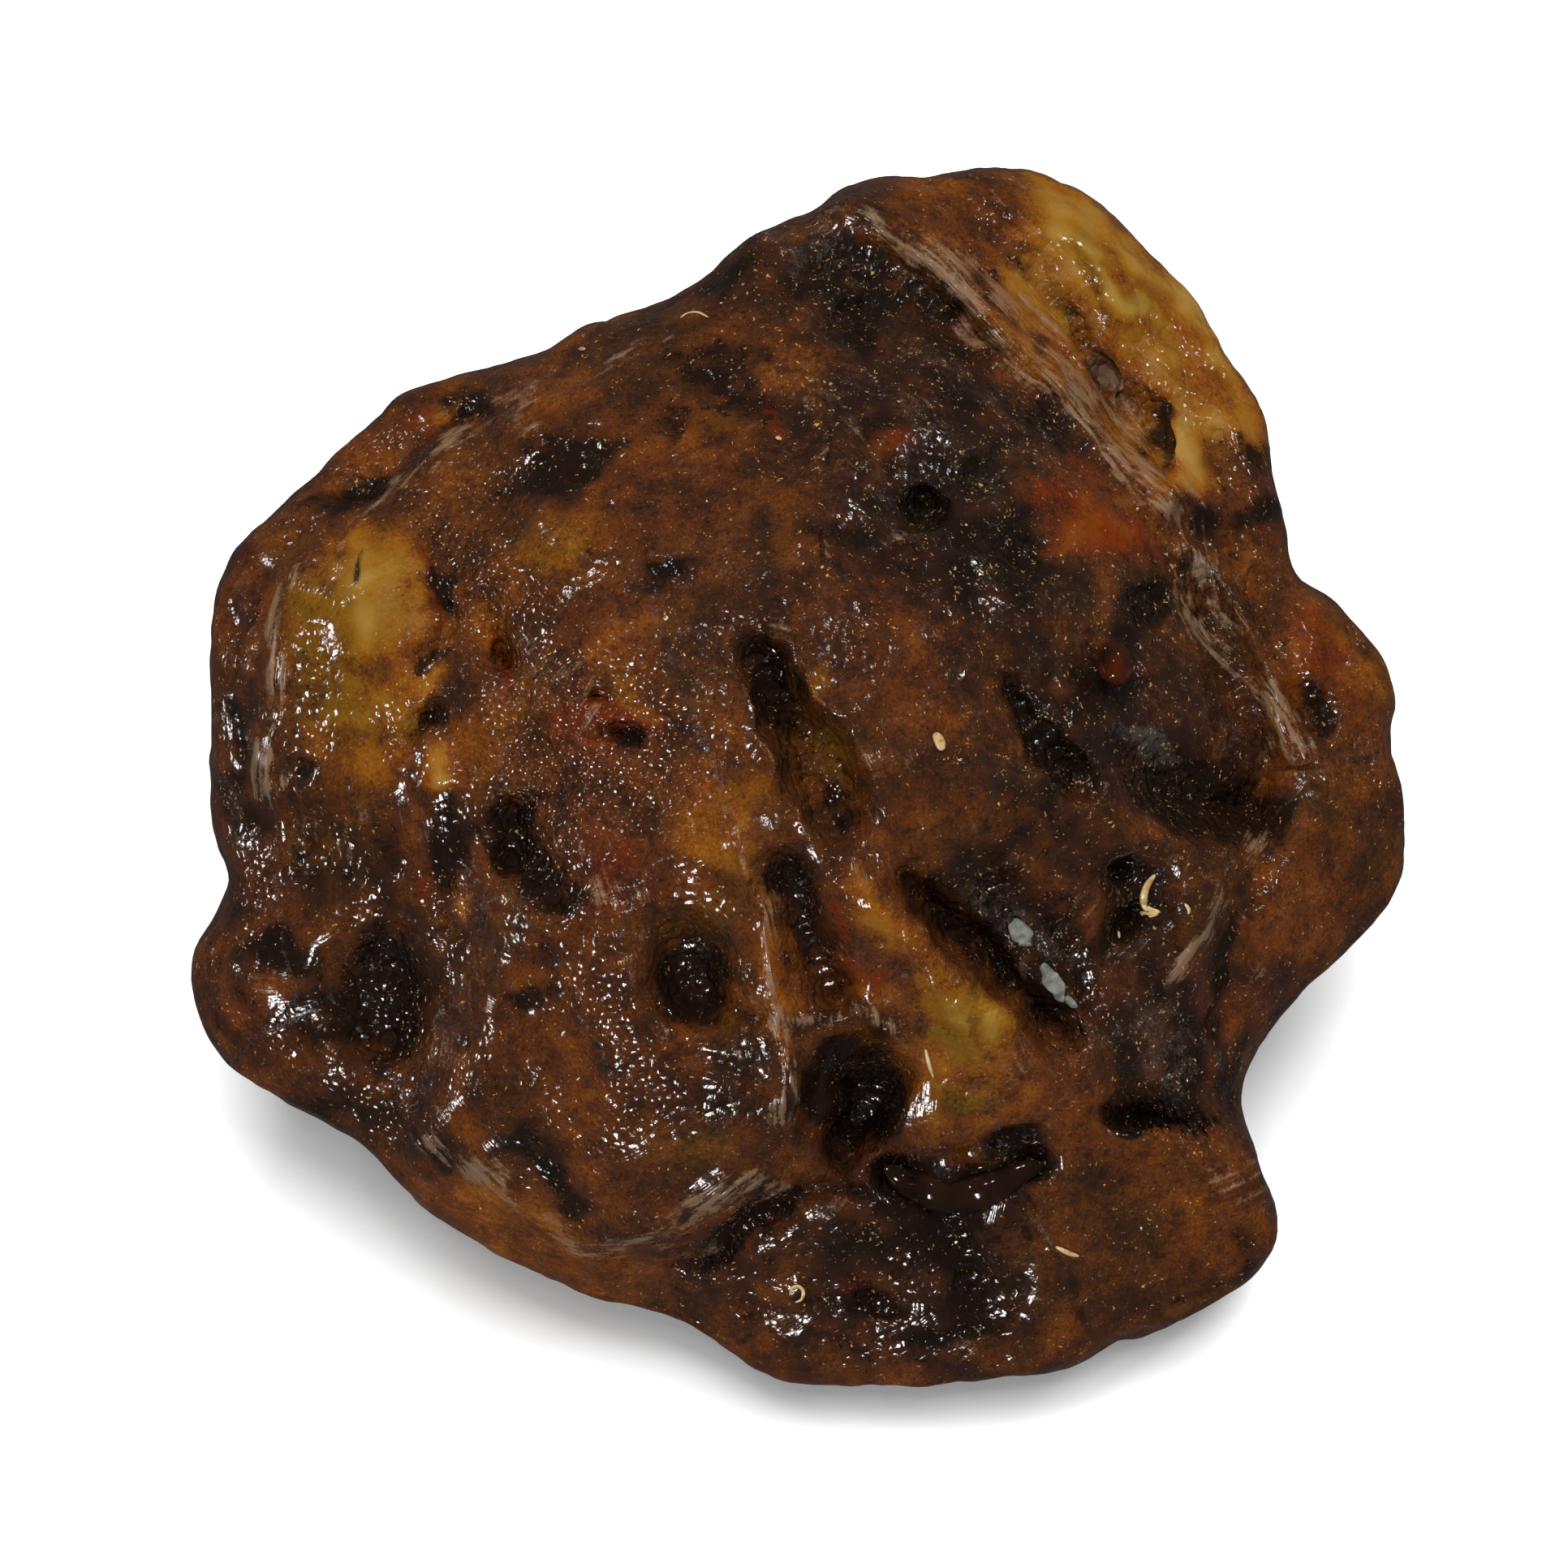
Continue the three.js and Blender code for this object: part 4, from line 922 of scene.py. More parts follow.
class Bench:
    """A new material's node tree, with one short method a kind of node. Sizes are in mm."""

    def __init__(self, name: str, share: float = 1.0) -> None:
        """Makes the material, and keeps its shader, its output and its Object coordinates at hand.

        Args:
            name: The material's name.
            share: Reflected share of each display colour, for a light stronger than the white point.
        """
        self.share = share
        self.material = bpy.data.materials.new(name)
        self.material.use_nodes = True
        self.tree = self.material.node_tree
        self.tree.nodes.clear()
        self.output = self.tree.nodes.new("ShaderNodeOutputMaterial")
        self.shader = self.tree.nodes.new("ShaderNodeBsdfPrincipled")
        self.tree.links.new(self.shader.outputs[0], self.output.inputs["Surface"])
        self.place = self.tree.nodes.new("ShaderNodeTexCoord").outputs["Object"]

    def tone(self, colour: tuple[int, int, int]) -> tuple[float, float, float, float]:
        """A display colour as the linear colour that shows as it under this light."""
        return (*(level * self.share for level in linear(*colour)[:3]), 1.0)

    def feed(self, socket: Socket, value: Value | Colour) -> None:
        """Links a socket to another node's, or sets its value."""
        if isinstance(value, bpy.types.NodeSocket):
            self.tree.links.new(value, socket)
        else:
            socket.default_value = value

    def set(self, **values: Value | Colour) -> None:
        """Feeds the shader's inputs, named with underscores for spaces."""
        for name, value in values.items():
            self.feed(self.shader.inputs[name.replace("_", " ")], value)

    def field(self, tint: Tint) -> Socket:
        """A painted field, read from the mesh."""
        node = self.tree.nodes.new("ShaderNodeAttribute")
        node.attribute_name = tint.value
        return node.outputs["Fac"]

    def strand(self) -> Socket:
        """The coordinates across and along the threads of the pale ridges, read from the mesh."""
        node = self.tree.nodes.new("ShaderNodeAttribute")
        node.attribute_name = STRAND
        return node.outputs["Vector"]

    def noise(self, size: float, detail: float = 3.0, rough: float = 0.55, curl: float = 0.0,
              place: Socket | None = None) -> Socket:
        """Fractal noise with features of a size.

        Args:
            size: Size of the largest features, in mm.
            detail: Octaves.
            rough: Share that each finer octave keeps.
            curl: How strongly the features are pulled into threads.
            place: Coordinates in metres to read it at; the object's if left out.

        Returns:
            The noise, 0 to 1.
        """
        node = self.tree.nodes.new("ShaderNodeTexNoise")
        self.feed(node.inputs["Vector"], place or self.place)
        self.feed(node.inputs["Scale"], 1 / (size * MM))
        self.feed(node.inputs["Detail"], detail)
        self.feed(node.inputs["Roughness"], rough)
        self.feed(node.inputs["Distortion"], curl)
        return node.outputs["Fac"]

    def cells(self, size: float) -> Socket:
        """Distance from the nearest seed of cells of a size in mm, counted in cell widths."""
        node = self.tree.nodes.new("ShaderNodeTexVoronoi")
        self.feed(node.inputs["Vector"], self.place)
        self.feed(node.inputs["Scale"], 1 / (size * MM))
        return node.outputs["Distance"]

    def maths(self, operation: str, a: Value, b: Value, clamp: bool = False) -> Socket:
        """One step of arithmetic on two values."""
        node = self.tree.nodes.new("ShaderNodeMath")
        node.operation = operation
        node.use_clamp = clamp
        self.feed(node.inputs[0], a)
        self.feed(node.inputs[1], b)
        return node.outputs[0]

    def plus(self, a: Value, b: Value) -> Socket:
        """The sum of two values."""
        return self.maths("ADD", a, b)

    def less(self, a: Value, b: Value) -> Socket:
        """The first value less the second."""
        return self.maths("SUBTRACT", a, b)

    def times(self, a: Value, b: Value) -> Socket:
        """The product of two values."""
        return self.maths("MULTIPLY", a, b)

    def swing(self, value: Socket, amount: float) -> Socket:
        """A 0 to 1 value turned into one between plus and minus half the amount."""
        return self.times(self.less(value, 0.5), amount)

    def step(self, value: Socket, low: float, high: float, top: float = 1.0) -> Socket:
        """An eased rise from 0 at the low value to the top at the high one."""
        node = self.tree.nodes.new("ShaderNodeMapRange")
        node.interpolation_type = "SMOOTHSTEP"
        for name, setting in (("Value", value), ("From Min", low), ("From Max", high), ("To Max", top)):
            self.feed(node.inputs[name], setting)
        return node.outputs["Result"]

    def mix(self, share: Value, under: Colour, over: Colour) -> Socket:
        """One colour laid over another by a share."""
        node = self.tree.nodes.new("ShaderNodeMix")
        node.data_type = "RGBA"
        self.feed(node.inputs[0], share)
        self.feed(node.inputs[6], under)
        self.feed(node.inputs[7], over)
        return node.outputs[2]

    def ramp(self, value: Socket, stops: tuple[tuple[float, tuple[int, int, int]], ...]) -> Socket:
        """Display colours along a value.

        Args:
            value: Where to read the ramp, 0 to 1.
            stops: Places on it and their colours.

        Returns:
            The colour.
        """
        node = self.tree.nodes.new("ShaderNodeValToRGB")
        ramp = node.color_ramp
        for place, colour in stops[1:-1]:
            ramp.elements.new(place).color = self.tone(colour)
        ramp.elements[0].position, ramp.elements[0].color = stops[0][0], self.tone(stops[0][1])
        ramp.elements[-1].position, ramp.elements[-1].color = stops[-1][0], self.tone(stops[-1][1])
        self.feed(node.inputs[0], value)
        return node.outputs[0]

    def bump(self, height: Socket, depth: float) -> Socket:
        """A fine relief of a depth in mm."""
        node = self.tree.nodes.new("ShaderNodeBump")
        self.feed(node.inputs["Height"], height)
        self.feed(node.inputs["Distance"], depth * MM)
        return node.outputs["Normal"]


@dataclass(frozen=True)
class CrustFinish:
    """The nugget's finish: a glossy pebbled crust, thin enough in places for the amber to show through."""

    name: str = "amber_crust"
    bare: tuple[tuple[float, tuple[int, int, int]], ...] = (
        (0.0, (40, 24, 17)), (0.16, (58, 32, 18)), (0.3, (80, 41, 18)), (0.42, (98, 51, 18)),
        (0.54, (120, 64, 16)), (0.66, (150, 88, 20)), (0.8, (176, 120, 36)), (1.0, (194, 150, 70)),
    )
    olive: tuple[tuple[float, tuple[int, int, int]], ...] = (
        (0.2, (48, 34, 14)), (0.5, (90, 62, 12)), (0.75, (138, 104, 22)), (1.0, (186, 154, 64)),
    )
    ember: tuple[int, int, int] = (122, 32, 2)
    char: tuple[int, int, int] = (23, 14, 9)
    gap: tuple[int, int, int] = (34, 20, 13)
    dust: tuple[int, int, int] = (84, 75, 69)
    # pale grey-brown of rubbed ridges, partly painted sheen
    worn: tuple[int, int, int] = (146, 116, 86)
    # painted golden glints: pale gold points in the base colour
    painted_glint: tuple[int, int, int] = (196, 152, 90)
    share: float = 0.51
    ior: float = 1.54
    glow_depth: float = 1.6
    amber: tuple[int, int, int] = (236, 150, 40)
    density: float = 380.0
    fine_size: float = 0.4
    grit_size: float = 0.13
    pebble_size: float = 0.4
    thread_size: float = 0.24
    relief_depth: float = 0.1
    least_roughness: float = 0.13
    glow: float = 0.6
    clearness: float = 0.25

    def material(self) -> bpy.types.Material:
        """Colour from the painted fields, broken up by noise, over a fine pebbled relief.

        Returns:
            The material.
        """
        bench = Bench(self.name, self.share)
        thin, char, olive = (bench.field(tint) for tint in (THIN, CHAR, OLIVE))
        red, dust, pebble, worn = (bench.field(tint) for tint in (RED, DUST, PEBBLE, WORN))
        fine = bench.noise(self.fine_size, 2, 0.6)
        grit = bench.noise(self.grit_size, 1, 0.5, 0.8)
        distance = bench.cells(self.pebble_size)
        calm = bench.less(1.0, bench.step(thin, 0.5, 0.85, 0.8))
        broken = bench.plus(bench.swing(fine, 0.5), bench.swing(grit, 0.6))
        broken = bench.times(broken, calm)
        strands = bench.noise(self.thread_size, 2, 0.6, place=bench.strand())
        threads = bench.times(bench.swing(strands, 4.0), worn)
        level = bench.plus(bench.plus(thin, broken), bench.times(threads, 0.15))
        burnt = bench.step(bench.plus(char, bench.times(broken, 2.0)), 0.36, 0.72)
        gaps = bench.times(bench.step(fine, 0.56, 0.68, 0.4), calm)
        colour = bench.mix(gaps, bench.ramp(level, self.bare), bench.tone(self.gap))
        greenish = bench.maths("MULTIPLY", olive, 0.9, clamp=True)
        colour = bench.mix(greenish, colour, bench.ramp(level, self.olive))
        glowing = bench.step(bench.plus(red, broken), 0.2, 1.15, 0.8)
        colour = bench.mix(glowing, colour, bench.tone(self.ember))
        colour = bench.mix(bench.step(char, 0.1, 1.0, 0.5), colour, bench.tone(self.char))
        colour = bench.mix(bench.times(burnt, 0.9), colour, bench.tone(self.char))
        # pale ridges and edges: partly wear, partly painted sheen
        ragged = bench.plus(bench.times(broken, 1.4), threads)
        edges = bench.step(bench.plus(worn, ragged), 0.5, 1.3, 0.6)
        colour = bench.mix(edges, colour, bench.tone(self.worn))
        dusty = bench.step(bench.plus(dust, bench.times(broken, 1.6)), 0.3, 1.0, 0.8)
        colour = bench.mix(dusty, colour, bench.tone(self.dust))
        # painted golden glints: sparse pale gold points, most where the crust is dusty
        bright = bench.less(bench.times(dust, 0.12), grit)
        painted_glint = bench.times(bench.step(bright, -0.34, -0.25), bench.step(fine, 0.48, 0.6))
        colour = bench.mix(painted_glint, colour, bench.tone(self.painted_glint))
        clear = bench.less(1.0, burnt)
        window = bench.times(bench.step(level, 0.48, 0.8), clear)
        rough = bench.times(bench.plus(edges, dusty), 0.4)
        dome = bench.times(bench.times(distance, distance), pebble)
        height = bench.times(fine, bench.plus(bench.times(pebble, 0.35), 0.25))
        height = bench.less(height, bench.times(dome, 2.2))
        height = bench.plus(height, bench.times(threads, 0.4))
        bench.set(
            Base_Color=colour,
            Roughness=bench.plus(rough, self.least_roughness),
            IOR=self.ior,
            Normal=bench.bump(height, self.relief_depth),
            Subsurface_Weight=bench.times(window, self.glow),
            Subsurface_Scale=self.glow_depth * MM,
            Subsurface_Radius=(1.0, 0.45, 0.15),
            Transmission_Weight=bench.times(window, self.clearness),
        )
        inside = bench.tree.nodes.new("ShaderNodeVolumeAbsorption")
        bench.feed(inside.inputs["Color"], linear(*self.amber))
        bench.feed(inside.inputs["Density"], self.density)
        bench.tree.links.new(inside.outputs[0], bench.output.inputs["Volume"])
        return bench.material


@dataclass(frozen=True)
class BlisterFinish:
    """Dark resin that ran smooth and set, with a clean gloss: its dark and its lit colour."""

    name: str
    dark: tuple[int, int, int]
    lit: tuple[int, int, int]
    share: float = 0.51

    def material(self) -> bpy.types.Material:
        """Clouds of the two colours, over a faintly uneven skin."""
        bench = Bench(self.name, self.share)
        bench.set(
            Base_Color=bench.ramp(bench.noise(1.2, 2), ((0.4, self.dark), (0.62, self.lit))),
            Roughness=0.09,
            IOR=1.54,
            Normal=bench.bump(bench.noise(0.5, 1), 0.04),
        )
        return bench.material


@dataclass(frozen=True)
class ClayFinish:
    """Pale grey clay, dull and crumbly."""

    name: str = "grey_clay"
    share: float = 0.51

    def material(self) -> bpy.types.Material:
        """Mottled grey with a fine dull relief."""
        bench = Bench(self.name, self.share)
        greys = ((0.25, (72, 74, 66)), (0.5, (128, 130, 120)), (0.8, (170, 170, 158)))
        grey = bench.ramp(bench.noise(0.5, 6), greys)
        bench.set(
            Base_Color=grey,
            Roughness=bench.plus(bench.swing(bench.noise(0.3), 0.2), 0.62),
            Normal=bench.bump(bench.noise(0.15, 5, 0.7), 0.06),
        )
        return bench.material


@dataclass(frozen=True)
class FlakeFinish:
    """Pale golden flake, silky and a little see-through."""

    name: str = "golden_flake"
    share: float = 0.51

    def material(self) -> bpy.types.Material:
        """Cream gold with darker streaks, half metal."""
        bench = Bench(self.name, self.share)
        golds = ((0.3, (176, 124, 58)), (0.5, (232, 196, 132)), (0.75, (252, 232, 186)))
        streak = bench.noise(0.3, 4, 0.6)
        bench.set(
            Base_Color=bench.ramp(streak, golds),
            Roughness=bench.plus(bench.swing(streak, 0.2), 0.34),
            Metallic=0.35,
            Normal=bench.bump(bench.noise(0.12, 3), 0.02),
        )
        return bench.material


@dataclass
class AmberNugget:
    """The nugget's skin: a cube's cells blown up into the form, with its relief, stains and finish."""

    cells: int = 128
    back_stretch: float = 0.37
    rim_spread: float = 1.35
    swells: tuple[tuple[int, float, float], ...] = (
        (21, 6.0, 0.3), (22, 2.6, 0.16), (23, 1.2, 0.09), (24, 0.6, 0.045),
    )
    hidden_swell: float = 1.8
    hidden_from: float = -0.12
    hidden_blend: float = 0.05
    mottles: tuple[Mottle, ...] = (
        Mottle(THIN, 51, 3.2, 0.1), Mottle(THIN, 52, 1.4, 0.12), Mottle(THIN, 53, 0.7, 0.12),
        Mottle(CHAR, 54, 3.0, 0.22), Mottle(CHAR, 55, 1.2, 0.3), Mottle(CHAR, 56, 0.6, 0.26),
        Mottle(WORN, 63, 1.0, 0.3), Mottle(WORN, 64, 2.6, 0.2),
        Mottle(RED, 57, 2.6, 0.25), Mottle(RED, 58, 0.9, 0.2), Mottle(OLIVE, 59, 2.2, 0.25),
        Mottle(OLIVE, 60, 0.8, 0.15), Mottle(DUST, 61, 1.0, 0.15), Mottle(PEBBLE, 62, 2.0, 0.3),
    )
    edge_rounds: int = 10
    edge_height: float = 0.12
    edge_wear_and_sheen: float = 0.35
    hollow_rounds: int = 60
    hollow_depth: float = 0.5
    hollow_least: float = -0.3
    hollow_darkening: float = 0.2
    hollow_pebble: float = 0.7
    perch_reach: float = 0.2
    form: NuggetForm = field(default_factory=NuggetForm)
    relief: Relief = field(default_factory=Relief)
    paint: Paint = field(default_factory=Paint)
    hidden: HiddenSide = field(default_factory=HiddenSide)
    finish: CrustFinish = CrustFinish()

    def ball(self) -> tuple[Array, Array]:
        """A cube's surface cut into cells, its corners shared, and pushed out to a ball of even cells.

        Returns:
            Unit directions, one row a vertex, and quads that face outwards.
        """
        n = self.cells
        i, j = np.meshgrid(np.arange(n), np.arange(n), indexing="ij")
        corners = np.stack([(i, j), (i + 1, j), (i + 1, j + 1), (i, j + 1)]).reshape(4, 2, -1)
        quads = []
        for axis, side in product(range(3), (0, n)):
            lattice = np.empty((4, 3, n * n), int)
            lattice[:, axis] = side
            lattice[:, (axis + 1) % 3] = corners[:, 0]
            lattice[:, (axis + 2) % 3] = corners[:, 1]
            keys = (lattice[:, 0] * (n + 1) + lattice[:, 1]) * (n + 1) + lattice[:, 2]
            quads.append(keys.T if side else keys.T[:, ::-1])
        used, quads = np.unique(np.vstack(quads), return_inverse=True)
        places = np.stack(np.unravel_index(used, (n + 1,) * 3), axis=1)
        spread = np.tan((2 * places / n - 1) * math.pi / 4)
        return spread / np.linalg.norm(spread, axis=1, keepdims=True), quads.reshape(-1, 4)

    def skin(self) -> tuple[Array, Array, dict[Tint, Array]]:
        """The finished surface, with its painted fields.

        A direction's angle from w picks a ring and its heading picks the outline's radius: radius = outline x
        sin(ring), and w = rim + (target - rim) x |cos(ring)|^fullness, where the target is the front's height
        with its relief, or the back's facets. Swells and hidden dents then move each point along its normal,
        and the floor flattens what is under it.

        Returns:
            Vertices in mm, quads and the painted fields.
        """
        directions, quads = self.ball()
        heading = np.arctan2(directions[:, 1], directions[:, 0])
        polar = np.arccos(np.clip(directions[:, 2], -1, 1))
        cosine = np.cos(polar - self.back_stretch * np.sin(polar))
        cosine = np.sign(cosine) * np.abs(cosine) ** self.rim_spread
        radius = around_turn(self.form.radius_knots, heading) * np.sqrt(1 - cosine**2)
        u, v = radius * np.cos(heading), radius * np.sin(heading)
        rim = around_turn(self.form.depth_knots, heading)
        fullness = np.abs(cosine) ** EDGE_FULLNESS
        front = cosine > 0
        plain = blend_facets(self.form.back, u, v)
        plain[front] = self.form.front_height(u[front], v[front])
        target = plain.copy()
        target[front] += self.relief.height(u[front], v[front])
        body = self.form.world(u, v, rim + (plain - rim) * fullness)
        points = self.form.world(u, v, rim + (target - rim) * fullness)
        hidden = 1 / (1 + np.exp((cosine - self.hidden_from) / self.hidden_blend))
        points += hidden[:, None] * (self.smoothed(points, quads, self.hidden.soft_rounds) - points)
        normals = vertex_normals(points, quads)
        swell = sum(amount * Grain(seed).at(points, size) for seed, size, amount in self.swells)
        swell = swell * (1 + (self.hidden_swell - 1) * hidden) - self.hidden.dent(points, hidden)
        points += normals * swell[:, None]
        points[:, 2] = self.ease_to_floor(points[:, 2])
        middle = (body.min(axis=0) + body.max(axis=0)) / 2
        self.origin = np.array([-middle[0], -middle[1], FLOOR_DROP])
        points[:, :2] -= middle[:2]
        fields = self.paint.fields(u, v)
        self.strand = self.paint.strand(u, v)
        for tint, level in self.paint.ground:
            fields[tint] += hidden * (level - fields[tint])
        self.hidden.stain(points, hidden, fields)
        for mottle in self.mottles:
            fields[mottle.tint] += mottle.swing * Grain(mottle.seed).at(points, mottle.size)
        self.face = np.stack([u, v], axis=1)
        self.front = front
        self.points = points
        self.normals = vertex_normals(points, quads)
        fields[PEBBLE] += self.hidden.pebble * hidden
        # convex edges are painted paler: partly wear, partly painted sheen
        edges = np.clip(self.standing(quads, self.edge_rounds) / self.edge_height, 0, 1)
        fields[WORN] += self.edge_wear_and_sheen * edges
        # the char field rises in hollows and falls a little on bumps: darker where a place sinks below a
        # smoothed copy of the surface
        hollow = -self.standing(quads, self.hollow_rounds) / self.hollow_depth
        hollow = np.clip(hollow, self.hollow_least, 1)
        fields[CHAR] += self.hollow_darkening * hollow
        fields[PEBBLE] += self.hollow_pebble * hollow
        return points, quads, fields

    @staticmethod
    def smoothed(points: Array, quads: Array, rounds: int) -> Array:
        """A copy of the surface whose vertices take the mean of their neighbours, again and again.

        Args:
            points: Vertices, in mm.
            quads: Vertex numbers, four a row.
            rounds: How often the mean is taken.

        Returns:
            The softened vertices, in mm.
        """
        home = quads.ravel()
        beside = np.roll(quads, -1, axis=1).ravel()
        home, beside = np.concatenate([home, beside]), np.concatenate([beside, home])
        count = np.bincount(home, minlength=len(points))
        smooth = points.T.copy()
        for _ in range(rounds):
            smooth = np.stack([np.bincount(home, row[beside]) / count for row in smooth])
        return smooth.T

    def standing(self, quads: Array, rounds: int) -> Array:
        """How far each vertex stands out around it: its offset along the normal from a smoothed copy.

        Args:
            quads: Vertex numbers, four a row.
            rounds: How often each vertex of the copy takes the mean of its neighbours.

        Returns:
            The offset at each vertex, in mm.
        """
        return np.sum((self.points - self.smoothed(self.points, quads, rounds)) * self.normals, axis=1)

    @staticmethod
    def ease_to_floor(z: Array) -> Array:
        """Heights under the floor become 0, and those just over it are eased into it by a parabola."""
        eased = (np.clip(z, -FLOOR_EASE, FLOOR_EASE) + FLOOR_EASE) ** 2 / (4 * FLOOR_EASE)
        return np.where(z >= FLOOR_EASE, z, eased)

    def perch(self, places: Array) -> tuple[Array, Array]:
        """The surface's point and normal at each place of the broad face: a bell-weighted mean of vertices.

        Args:
            places: Face coordinates u and v, one row each, in mm.

        Returns:
            Points in mm and unit normals, one row each.
        """
        apart = np.sum((places[:, None] - self.face[None, self.front]) ** 2, axis=2)
        share = np.exp((apart.min(axis=1, keepdims=True) - apart) / (2 * self.perch_reach**2))
        share /= share.sum(axis=1, keepdims=True)
        normals = share @ self.normals[self.front]
        return share @ self.points[self.front], normals / np.linalg.norm(normals, axis=1, keepdims=True)

    def laid(self, path: Path, steps: int, easing: int) -> tuple[Array, Array]:
        """A smoothed path laid on the crust, evened out along its length, with one way up all along it.

        Args:
            path: The path's knots on the face, in mm.
            steps: Points between two knots.
            easing: How often each inner point takes the mean of itself, twice, and its two neighbours.

        Returns:
            Points in mm and the way up, one row each.
        """
        centres, normals = self.perch(Line(path, 1).smooth(steps))
        for _ in range(easing):
            centres[1:-1] = (centres[:-2] + 2 * centres[1:-1] + centres[2:]) / 4
        up = normals.mean(axis=0)
        return centres, np.repeat(up[None] / np.linalg.norm(up), len(centres), axis=0)

    def build(self) -> bpy.types.Object:
        """Makes the skin, writes its painted fields and dresses it.

        Returns:
            The nugget's object.
        """
        points, quads, fields = self.skin()
        piece = new_mesh("amber_skin", points * MM, quads.tolist())
        for tint, values in fields.items():
            layer = piece.data.attributes.new(tint.value, "FLOAT", "POINT")
            layer.data.foreach_set("value", values.astype(np.float32))
        layer = piece.data.attributes.new(STRAND, "FLOAT_VECTOR", "POINT")
        layer.data.foreach_set("vector", (self.strand * MM).astype(np.float32).ravel())
        piece.data.materials.append(self.finish.material())
        return piece


def carried_profile(
    centres: Array, normals: Array, widths: Array, heights: Array, sides: int = 10
) -> tuple[Array, list]:
    """An oval profile carried along a path, closed to a point at both ends.

    Each section is centre + side x width x cos(a) + normal x height x sin(a), with the side square to the
    path.

    Args:
        centres: The path, one row a section, in mm.
        normals: The way up at each section.
        widths: Half-width of each section, in mm.
        heights: Half-height of each section, in mm.
        sides: Corners of a section.

    Returns:
        Vertices in mm, and faces that point outwards.
    """
    tangents = np.gradient(centres, axis=0)
    across = np.cross(tangents, normals)
    across /= np.linalg.norm(across, axis=1, keepdims=True)
    angle = np.arange(sides) * 2 * math.pi / sides
    rings = (
        centres[1:-1, None]
        + across[1:-1, None] * (widths[1:-1, None] * np.cos(angle))[..., None]
        + normals[1:-1, None] * (heights[1:-1, None] * np.sin(angle))[..., None]
    )
    points = np.vstack([rings.reshape(-1, 3), centres[:1], centres[-1:]])
    count = len(rings)
    row = np.arange(count * sides).reshape(count, sides)
    turned = np.roll(row, -1, axis=1)
    quads = np.stack([row[:-1], row[1:], turned[1:], turned[:-1]], axis=-1).reshape(-1, 4)
    start = [[count * sides, int(a), int(b)] for a, b in zip(row[0], turned[0])]
    end = [[count * sides + 1, int(b), int(a)] for a, b in zip(row[-1], turned[-1])]
    return points, quads.tolist() + start + end


def join(solids: list[tuple[Array, list]]) -> tuple[Array, list]:
    """Several closed solids as one list of vertices and one of faces."""
    points, faces, count = [], [], 0
    for solid, solid_faces in solids:
        points.append(solid)
        faces += [[corner + count for corner in face] for face in solid_faces]
        count += len(solid)
    return np.vstack(points), faces


@dataclass
class ClayCrumbs:
    """Grey clay caught in the crevice: each crumb's place, length, width, height and turn."""

    crumbs: tuple[tuple[float, float, float, float, float, float], ...] = (
        (8.65, -5.45, 1.35, 0.75, 0.4, -55),
        (9.9, -7.35, 1.7, 0.6, 0.4, -48),
        (10.6, -8.1, 0.6, 0.3, 0.2, -40),
    )
    sections: int = 22
    sides: int = 16
    fullness: float = 0.6
    lift: float = 0.25
    crumble: float = 0.16
    crumble_size: float = 0.3
    seeds: tuple[int, int, int] = (31, 32, 33)
    finish: ClayFinish = ClayFinish()

    def build(self, nugget: AmberNugget) -> bpy.types.Object:
        """An uneven oval carried along a short line for each crumb, roughened by smooth noise.

        Args:
            nugget: What the crumbs lie on.

        Returns:
            The crumbs' object.
        """
        solids = []
        t = np.linspace(0, 1, self.sections)
        for u, v, length, width, height, turn in self.crumbs:
            (place,), (up,) = nugget.perch(np.array([[u, v]]))
            heading = (math.cos(math.radians(turn)), math.sin(math.radians(turn)), 0.0)
            along = nugget.form.world(*(np.array([x]) for x in heading))[0]
            along -= (0, 0, FLOOR_DROP)
            along -= up * along.dot(up)
            along /= np.linalg.norm(along)
            centres = place + (t[:, None] - 0.5) * length * along + up * height * self.lift
            swell = np.sin(math.pi * t) ** self.fullness
            ups = np.repeat(up[None], len(t), axis=0)
            points, faces = carried_profile(centres, ups, swell * width / 2, swell * height / 2, self.sides)
            shifts = np.stack([Grain(seed).at(points, self.crumble_size) for seed in self.seeds], axis=1)
            points += self.crumble * shifts
            solids.append((points, faces))
        points, faces = join(solids)
        piece = new_mesh("clay_crumbs", points * MM, faces)
        piece.data.materials.append(self.finish.material())
        return piece


@dataclass
class SmoothBlister:
    """Smooth dark resin in a hollow of the crust: its path, size in mm and how far its middle stands out."""

    name: str
    path: Path
    width: float
    height: float
    rise: float
    finish: BlisterFinish
    steps: int = 10
    easing: int = 12
    sides: int = 24

    def build(self, nugget: AmberNugget) -> bpy.types.Object:
        """An oval carried along the smoothed path and rounded off at its ends.

        Args:
            nugget: What the resin stands on.

        Returns:
            The blister's object.
        """
        centres, ups = nugget.laid(self.path, self.steps, self.easing)
        swell = np.sqrt(np.sin(math.pi * np.linspace(0, 1, len(centres))))
        points, faces = carried_profile(
            centres + ups * self.rise, ups, swell * self.width / 2, swell * self.height / 2, self.sides
        )
        piece = new_mesh(self.name, points * MM, faces)
        piece.data.materials.append(self.finish.material())
        return piece


BEAD = SmoothBlister(
    "resin_bead", ((11.4, 4.4), (12.2, 4.5), (13.0, 4.5)), 1.7, 1.1, 0.2,
    BlisterFinish("bead_resin", (26, 13, 8), (72, 27, 8)),
)
LIP = SmoothBlister(
    "resin_lip", ((3.8, -14.1), (4.6, -14.7), (5.8, -15.1), (7.2, -15.0), (8.4, -14.5), (9.6, -13.9)),
    1.5, 1.0, 0.3,
    BlisterFinish("lip_resin", (22, 13, 9), (40, 20, 10)),
)


